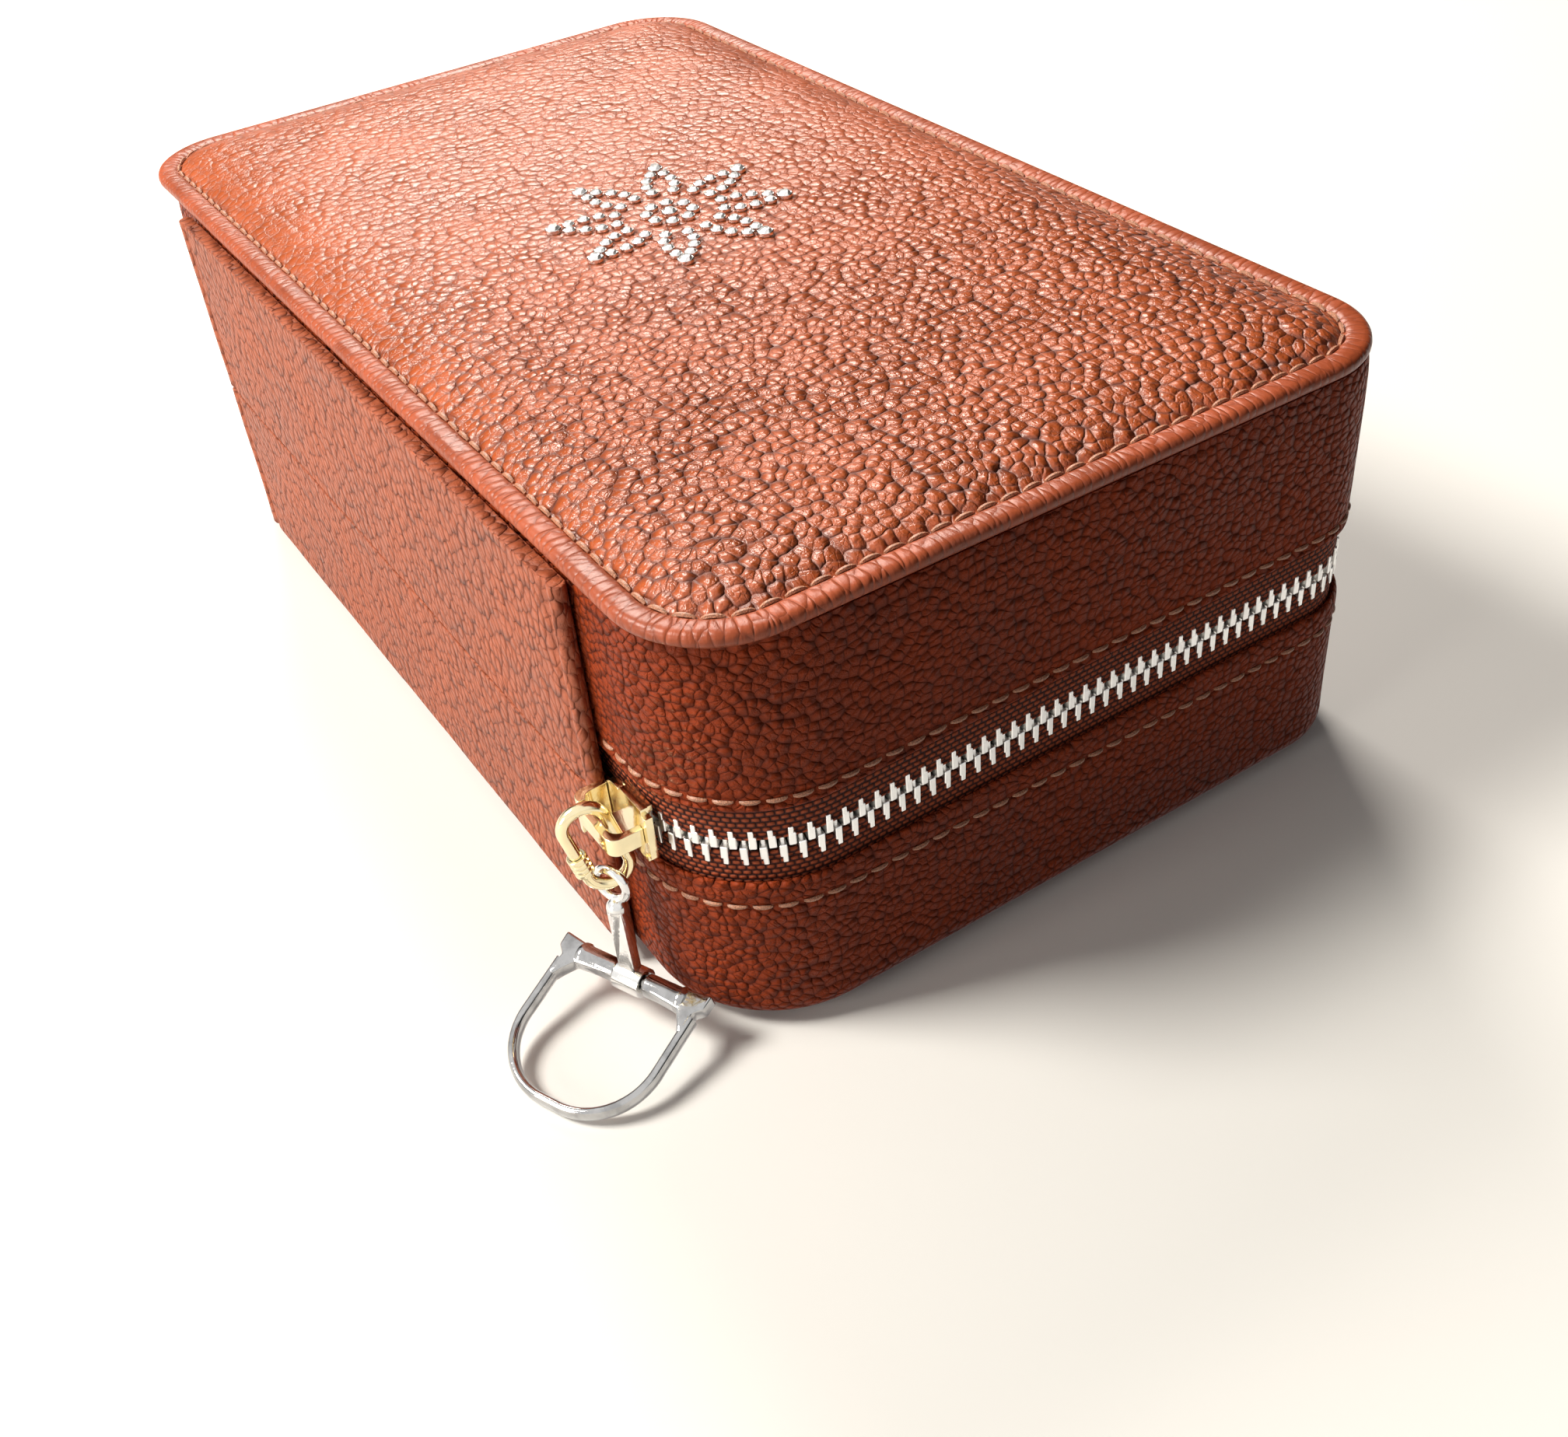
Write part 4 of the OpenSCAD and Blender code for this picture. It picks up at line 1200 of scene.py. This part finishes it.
@dataclass
class Zip:
    """Woven tapes, two rows of teeth and the stops."""

    run: ZipRun = field(default_factory=ZipRun)
    pitch: float = 2.5
    chain_w: float = 5.8
    zone: float = 33.06
    past: float = 13.3
    tooth_t: float = 0.5
    tooth_deep: float = 1.0
    tooth_front: float = 0.74

    def build(self, finishes: Finishes, repeat: PathRepeat) -> None:
        """Builds the tapes and the chain."""
        end = float(self.run.ends[-1])
        for name, body, low, high, flip, start, stop in (
                ("tape_lower", "base", 22.5, 32.35, 1, -self.past, end + self.past),
                ("tape_upper", "lid", 34.45, 45.4, -1, self.zone, end + self.past),
                ("tape_upper_corner", "lid", 34.45, 45.4, -1, -self.past, self.zone)):
            edge, far = (high, low) if flip > 0 else (low, high)
            # Section as distance out from the tape's middle, and height; the cord runs by the teeth
            section = [(0.30, far), (0.33, far + flip * 2.0), (0.35, edge - flip * 2.4), (0.35, edge - flip * 1.15),
                       (0.22, edge - flip * 1.0), (0.36, edge - flip * 0.8), (0.42, edge - flip * 0.5),
                       (0.34, edge - flip * 0.15), (0.0, edge), (-0.34, edge - flip * 0.15), (-0.35, edge - flip * 2.4),
                       (-0.3, far)]
            rows = np.array([self.run.line(start, stop, 1.0, z, out) for out, z in section])
            mesh = loft(name, rows.transpose(1, 0, 2), caps=True)
            swap = mesh.uv_layers["Surface"].data
            flat = np.zeros(len(swap) * 2, np.float32)
            swap.foreach_get("uv", flat)
            swap.foreach_set("uv", flat.reshape(-1, 2)[:, ::-1].ravel())
            set_down(piece(name, mesh, finishes.tape), body, "zip_tape", "zip_" + name)
        total = end + 2.0
        for name, body, up, shift in (("teeth_lower", "base", -1, self.pitch / 2), ("teeth_upper", "lid", 1, 0.0)):
            last = math.floor((total - shift) / self.pitch)
            begin = -1.0 + shift
            split = math.floor((self.zone - begin) / self.pitch)
            for part, first, final in ((name + "_corner", 0, split), (name, split + 1, last)):
                line = self.run.line(begin + first * self.pitch, begin + final * self.pitch, 0.5, self.run.z)
                teeth = repeat.run(part, [(line, False, final - first + 1)], self._tooth(up), finishes.teeth,
                                   Facing.OUT, 0.03, 3 + up)
                set_down(teeth, body, "zip_teeth", "zip_" + part)
        for node, body in (("zip_stops_lower", "base"), ("zip_stops_upper", "lid")):
            set_down(softened(node, node + "_piece", 0.15, finishes.teeth), body, "zip_teeth", node)

    def _tooth(self, up: int) -> bpy.types.Object:
        """One tooth: a bevelled block that steps down to the tape, with a nib that meets the other row."""
        t, deep, front, half = self.tooth_t, self.tooth_deep, self.tooth_front, self.chain_w / 2
        shape = bmesh.new()

        def block(x0: float, x1: float, y0: float, y1: float, z0: float, z1: float, bevel: float) -> None:
            """Adds a bevelled block; y runs across the chain and z out of the case."""
            made = bmesh.ops.create_cube(shape, size=1.0)["verts"]
            for v in made:
                v.co = Vector(((x0 + x1) / 2 + v.co.x * (x1 - x0), (y0 + y1) / 2 + v.co.y * (y1 - y0),
                               (z0 + z1) / 2 + v.co.z * (z1 - z0)))
            edges = {e for v in made for e in v.link_edges}
            bmesh.ops.bevel(shape, geom=list(edges), offset=bevel, segments=1, affect="EDGES", profile=0.7)

        block(-t, t, -0.12, 1.9, -deep, front, 0.12)
        block(-t * 0.6, t * 0.6, -0.9, 0.1, -deep, -0.1, 0.1)
        block(-t, t * 0.4, 1.6, half, 0.30, front * 0.95, 0.1)
        block(-t, t * 0.5, 1.6, half, -deep * 0.96, -0.36, 0.12)
        mesh = poured(shape, "Tooth")
        # Local y of a shape that faces out runs down the case, so the upper row is turned over
        if up > 0:
            mesh.transform(Matrix.Rotation(math.pi, 4, "Z"))
        mesh.transform(Matrix.Scale(MM, 4))
        return bpy.data.objects.new("Tooth", mesh)


@dataclass
class Pull:
    """Slider, bridge, link with its collar, eye bar and stirrup."""

    slider_x: float = -81.2
    zip_z: float = 33.4
    plate_y: float = 60.15
    angle: float = 79.0
    lean: float = 14.0
    rise: float = 2.4
    end_r: float = 3.0
    straight: float = 8.4
    wire_r: float = 0.95
    slack: float = 0.06
    pivot: Colour = (-83.7195, 64.6646, 7.0372)
    turn: float = 23.8
    dip: float = 15.6201
    hoop: tuple[float, float, float, float, float] = (12.1, 10.6, 21.3, 1.5, 2.6)

    def place(self) -> Matrix:
        """Frame of the link, in millimetres."""
        lean = math.radians(self.lean)
        link_y = self.plate_y + self.wire_r / math.cos(lean) + 4.5 * math.tan(lean) + 0.36
        return (Matrix.Translation((self.slider_x, link_y, self.zip_z))
                @ Matrix.Rotation(math.radians(self.angle), 4, "Z") @ Matrix.Rotation(math.pi / 2, 4, "X")
                @ Matrix.Rotation(-lean, 4, "Z") @ Matrix.Translation((self.end_r, -self.rise, 0)))

    def build(self, finishes: Finishes) -> None:
        """Builds the metal pull."""
        for node, name, width, finish, segments, body, slot in (
                ("slider_body", "slider", 0.5, finishes.gold, 4, "slider", "gold"),
                ("slider_bridge", "bridge", 0.85, finishes.gold, 6, "slider", "gold"),
                ("eye_bar", "neck_bar", 0.3, finishes.silver, 3, "bar", "silver"),
                ("stirrup_pin", "pivot_pin", 0.2, finishes.chrome, 3, "stirrup", "gunmetal")):
            set_down(softened(node, name, width, finish, segments), body, slot, node)
        place, half, r = self.place(), self.straight / 2, self.end_r
        path = arc(0, half, r, range(0, 181, 6)) + [(-r, half - self.straight * k / 8) for k in range(1, 8)]
        path += [(-x, -y) for x, y in path]
        points = np.array([place @ Vector((*p, 0)) for p in path], float)
        link = piece("link", sweep("link", points, self.wire_r - self.slack, 24), finishes.gold)
        set_down(link, "link", "gold", "pull_link")
        inner, outer, start, long = self.wire_r + 0.02, self.wire_r + 0.45, -half + 1.0, 3.4
        profile = [(inner, start), (outer - 0.12, start), (outer, start + 0.12)]
        for k in range(3):
            middle = start + long * (k + 1) / 4
            profile += [(outer, middle - 0.24), (outer - 0.2, middle - 0.1), (outer - 0.2, middle + 0.1),
                        (outer, middle + 0.24)]
        profile += [(outer, start + long - 0.12), (outer - 0.12, start + long), (inner, start + long)]
        collar = lathe("collar", place @ Matrix.Translation((r, 0, 0)), profile)
        set_down(piece("collar", collar, finishes.gold), "link", "gold", "link_collar")
        set_down(piece("stirrup", self._stirrup(), finishes.chrome), "stirrup", "gunmetal", "stirrup_frame")

    def _stirrup(self) -> bpy.types.Mesh:
        """The hoop, its two lugs and the sleeves of the crossbar, as one mesh."""
        place = (Matrix.Translation(self.pivot) @ Matrix.Rotation(math.radians(self.turn), 4, "Z")
                 @ Matrix.Rotation(math.radians(-self.dip), 4, "X"))
        half, bend, foot, thick, deep = self.hoop
        a, r = half - thick / 2, bend - thick / 2
        path = [(-a, 2.0 + k * (foot - bend - 2.0) / 10) for k in range(10)]
        path += arc(-a + r, foot - bend, r, range(180, 89, -4))
        path += [(-x, y) for x, y in reversed(path)]
        points = np.array([(x, y, 0.0) for k, (x, y) in enumerate(path) if k == 0 or (x, y) != path[k - 1]])
        ahead = np.gradient(points, axis=0)
        ahead /= np.linalg.norm(ahead, axis=1)[:, None]
        side = np.c_[ahead[:, 1], -ahead[:, 0], np.zeros(len(ahead))]
        turns = np.linspace(0, 2 * np.pi, 28, endpoint=False)
        c, s = (np.sign(f(turns)) * np.abs(f(turns)) ** 0.88 for f in (np.cos, np.sin))
        rows = [p + np.outer(c * thick / 2, w) + np.outer(s * deep / 2, (0.0, 0.0, 1.0)) for p, w in zip(points, side)]
        rows = np.array([[place @ Vector(v) for v in row] for row in rows], float)
        joined = bmesh.new()
        joined.from_mesh(loft("Hoop", rows, caps=True, sharp=60.0))
        lug = [(2.45, -1.3), (half - 3, -1.5), (half + 0.6, -2.0), (half + 0.5, 0.3), (a, 1.4), (a + 0.55, 4.6),
               (a - 0.5, 4.8), (half - thick - 0.4, 3.6), (half - 3.2, 1.8), (2.45, 1.3)]
        for way in (1, -1):
            block = bmesh.new()
            low = [block.verts.new((way * x, y, -deep / 2)) for x, y in lug]
            high = [block.verts.new((way * x, y, deep / 2)) for x, y in lug]
            block.faces.new(low)
            block.faces.new(high[::-1])
            for k in range(len(lug)):
                n = (k + 1) % len(lug)
                block.faces.new((low[k], high[k], high[n], low[n]))
            bmesh.ops.recalc_face_normals(block, faces=block.faces)
            bmesh.ops.bevel(block, geom=list(block.edges), offset=0.42, segments=4, affect="EDGES", profile=0.5,
                            clamp_overlap=True)
            bmesh.ops.transform(block, matrix=Matrix.Scale(MM, 4) @ place, verts=block.verts)
            joined.from_mesh(poured(block, "Lug"))
            sleeve = [(0.05, 0.0), (1.2, 0.0), (1.62, 0.18), (1.7, 0.5), (1.7, 5.4), (1.95, 5.8), (1.95, 6.4),
                      (1.6, 6.8), (0.05, 6.9)]
            at = place @ Matrix.Translation((way * 2.45, 0, 0)) @ Matrix.Rotation(-way * math.pi / 2, 4, "Z")
            joined.from_mesh(lathe("Sleeve", at, sleeve))
        return tidy(poured(joined, "stirrup"), 42.0)


@dataclass
class Interior:
    """Lining, compartments, ring rolls, mirror and the boards that the leather covers."""

    roll_r: float = 6.0

    def build(self, finishes: Finishes) -> None:
        """Builds what the closed case hides."""
        for node, material in (("base_board", finishes.board), ("lid_board", finishes.board),
                               ("lid_foam_pad", finishes.foam), ("base_underside", finishes.under)):
            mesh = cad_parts[node].data
            mesh.materials.clear()
            mesh.materials.append(material)
            log.info("%s shown as it is", node)
        for node, body, slot, width, finish in (
                ("base_lining", "base", "suede", 0.35, finishes.suede),
                ("lid_lining", "lid", "suede", 0.35, finishes.suede),
                ("divider_long", "base", "suede", 0.9, finishes.suede),
                ("divider_front", "base", "suede", 0.9, finishes.suede),
                ("dividers_spine_side", "base", "suede", 0.9, finishes.suede),
                ("mirror", "lid", "mirror", 0.3, finishes.mirror),
                ("mirror_frame", "lid", "smooth_leather", 0.6, finishes.trim)):
            set_down(softened(node, node + "_piece", width, finish), body, slot, node)
        self._rolls(finishes)
        self._fold(finishes)

    def _rolls(self, finishes: Finishes) -> None:
        """Stuffed rolls: a round that sags under its weight, with gathered ends."""
        low, high = (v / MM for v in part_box("ring_rolls"))
        pitch = 2 * self.roll_r + 0.6
        count = round((high.x - low.x + 0.6) / pitch)
        joined = bmesh.new()
        for k in range(count):
            x = low.x + self.roll_r + k * pitch
            rows = []
            for t in np.linspace(0.0, 1.0, 45):
                near = min(t, 1 - t) * (high.y - low.y)
                r = (self.roll_r - 0.06) * min(1.0, math.sqrt(max(1 - (1 - min(near / 3.2, 1.0)) ** 2, 0.004)))
                crumple = math.exp(-near / 2.4)
                row = []
                for a in np.linspace(0, 2 * math.pi, 49)[:-1]:
                    soft = noise.noise(Vector((k * 9.0 + math.cos(a) * 1.3, t * 8.0, math.sin(a) * 1.3)))
                    grow = 1 - 0.02 * abs(soft) - 0.05 * crumple * (0.5 + 0.5 * math.sin(9 * a + k))
                    row.append((x + r * grow * math.cos(a), low.y + t * (high.y - low.y),
                                low.z + self.roll_r + r * grow * math.sin(a)))
                rows.append(row)
            joined.from_mesh(loft("Roll", np.array(rows), caps=True))
        rolls = piece("rolls", tidy(poured(joined, "rolls")), finishes.roll)
        set_down(rolls, "base", "suede", "ring_rolls")

    def _fold(self, finishes: Finishes) -> None:
        """The leather fold that joins base and lid."""
        low, high = (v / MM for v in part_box("spine_fold"))
        xs = np.linspace(low.x, high.x, 60)
        ring = [(x, high.y) for x in xs] + [(x, low.y + 0.05) for x in xs[::-1]]
        rows = [[(x, y, low.z + t * (high.z - low.z)) for x, y in ring] for t in np.linspace(0.0, 1.0, 25)]
        fold = piece("hinge_fold", loft("hinge_fold", np.array(rows), caps=True), finishes.trim)
        log.info("%s between base and lid: %d faces", fold.name, len(fold.data.polygons))
        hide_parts("spine_fold")
        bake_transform(fold)


@dataclass
class Studio:
    """Camera, soft lights, pale floor and background."""

    focal_px: float = 2194.21
    width_px: float = 2016.0
    eye: Colour = (-237.768, 122.452, 183.761)
    azimuth: float = 240.799
    elevation: float = 39.292
    roll: float = -6.029

    def build(self) -> None:
        """Sets up the studio."""
        self._camera()
        self._floor()
        self._world()
        for name, where, size, power, colour in (
                ("Key", Vector((0.36, 0.76, 1.0)), 0.42, 22.0, (1.0, 0.95, 0.87)),
                ("Window", Vector((0.60, -0.24, 0.61)), 0.36, 7.0, (1.0, 0.93, 0.85)),
                ("Side", Vector((-0.12, 0.92, 0.28)), 0.36, 3.6, (1.0, 0.93, 0.85))):
            data = bpy.data.lights.new(name, "AREA")
            data.shape, data.size, data.energy, data.color = "SQUARE", size, power, colour
            lamp = bpy.data.objects.new(name, data)
            bpy.context.scene.collection.objects.link(lamp)
            lamp.location = where
            lamp.rotation_euler = (Vector((0.0, 0.0, 0.04)) - where).to_track_quat("-Z", "Y").to_euler()

    def _camera(self) -> None:
        """Camera at the viewing angle."""
        a, e, r = (math.radians(v) for v in (self.azimuth, self.elevation, self.roll))
        back = Vector((math.sin(a) * math.cos(e), -math.cos(a) * math.cos(e), math.sin(e)))
        right = Vector((0, 0, 1)).cross(back).normalized()
        up = back.cross(right)
        right, up = right * math.cos(r) + up * math.sin(r), up * math.cos(r) - right * math.sin(r)
        data = bpy.data.cameras.new("Camera")
        data.sensor_width = 36.0
        data.lens = 36.0 * self.focal_px / self.width_px
        data.clip_start = 0.01
        camera = bpy.data.objects.new("Camera", data)
        bpy.context.scene.collection.objects.link(camera)
        camera.matrix_world = Matrix((right, up, back)).transposed().to_4x4()
        camera.location = Vector(self.eye) * MM
        bpy.context.scene.camera = camera
        bpy.context.scene.view_settings.view_transform = "Standard"

    def _floor(self) -> None:
        """A pale floor that keeps the object's shadow."""
        mesh = bpy.data.meshes.new("Floor")
        mesh.from_pydata([(-4, -4, 0), (4, -4, 0), (4, 4, 0), (-4, 4, 0)], [], [(0, 1, 2, 3)])
        shop = NodeShop("PaleFloor")
        here = shop.place(Space.SOLID, scale=(1.0, 1.0, 1.0))
        tone = shop.blend(shop.noise(here, 6.0), (0.84, 0.835, 0.81), (0.88, 0.875, 0.85))
        matt = shop.add("ShaderNodeBsdfPrincipled", None, {"Base Color": tone, "Roughness": 0.6})
        glow = shop.add("ShaderNodeEmission", None, {"Color": (1.0, 0.995, 0.99), "Strength": 1.0})
        seen = shop.add("ShaderNodeLightPath")
        away = shop.add("ShaderNodeVectorMath", {"operation": "LENGTH"}, {0: here})
        far = Value(shop, away.outputs["Value"]).ease(0.28, 0.95, 0.03, 1.0)
        share = Value(shop, seen.outputs["Is Camera Ray"]) * far + Value(shop, seen.outputs["Is Glossy Ray"]) * 0.3
        both = shop.add("ShaderNodeMixShader", None, {0: share, 1: matt.outputs[0], 2: glow.outputs[0]})
        night = shop.add("ShaderNodeEmission", None, {"Color": (0.0, 0.0, 0.0), "Strength": 0.0})
        calm = Value(shop, seen.outputs["Is Diffuse Ray"]) * 0.55
        both = shop.add("ShaderNodeMixShader", None, {0: calm, 1: both.outputs[0], 2: night.outputs[0]})
        shop.add("ShaderNodeOutputMaterial", None, {"Surface": both.outputs[0]})
        piece("Floor", mesh, shop.owner)

    def _world(self) -> None:
        """Plain soft surroundings, white where they are seen."""
        shop = NodeShop("Room", bpy.data.worlds)
        bpy.context.scene.world = shop.owner

        def sky(colour: Colour, strength: Any) -> Any:
            """A background of one colour."""
            return shop.add("ShaderNodeBackground", None, {0: colour, 1: strength}).outputs[0]

        # Polished metal sees a pale room with a dark side, as in any studio
        facing = shop.add("ShaderNodeTexCoord").outputs["Generated"]
        dot = shop.add("ShaderNodeVectorMath", {"operation": "DOT_PRODUCT"}, {0: facing, 1: (-0.35, 0.75, 0.56)})
        room = sky((0.8, 0.8, 0.8), Value(shop, dot.outputs["Value"]).ease(-0.1, 0.4, 0.02, 1.3))
        seen = shop.add("ShaderNodeLightPath").outputs
        gloss = shop.add("ShaderNodeMixShader", None,
                         {0: seen["Is Glossy Ray"], 1: sky((1.0, 0.96, 0.92), 0.05), 2: room})
        both = shop.add("ShaderNodeMixShader", None,
                        {0: seen["Is Camera Ray"], 1: gloss.outputs[0], 2: sky((1.0, 1.0, 1.0), 1.0)})
        shop.add("ShaderNodeOutputWorld", None, {0: both.outputs[0]})


def main() -> None:
    """Builds the case, piece by piece."""
    logging.basicConfig(level=logging.INFO, format="%(message)s")
    Studio().build()
    finishes = Finishes()
    repeat = PathRepeat()
    PaddedLid().build(finishes, repeat)
    Rosette().build(finishes)
    Walls().build(finishes, repeat)
    Zip().build(finishes, repeat)
    Pull().build(finishes)
    Interior().build(finishes)


if __name__ == "__main__":
    main()
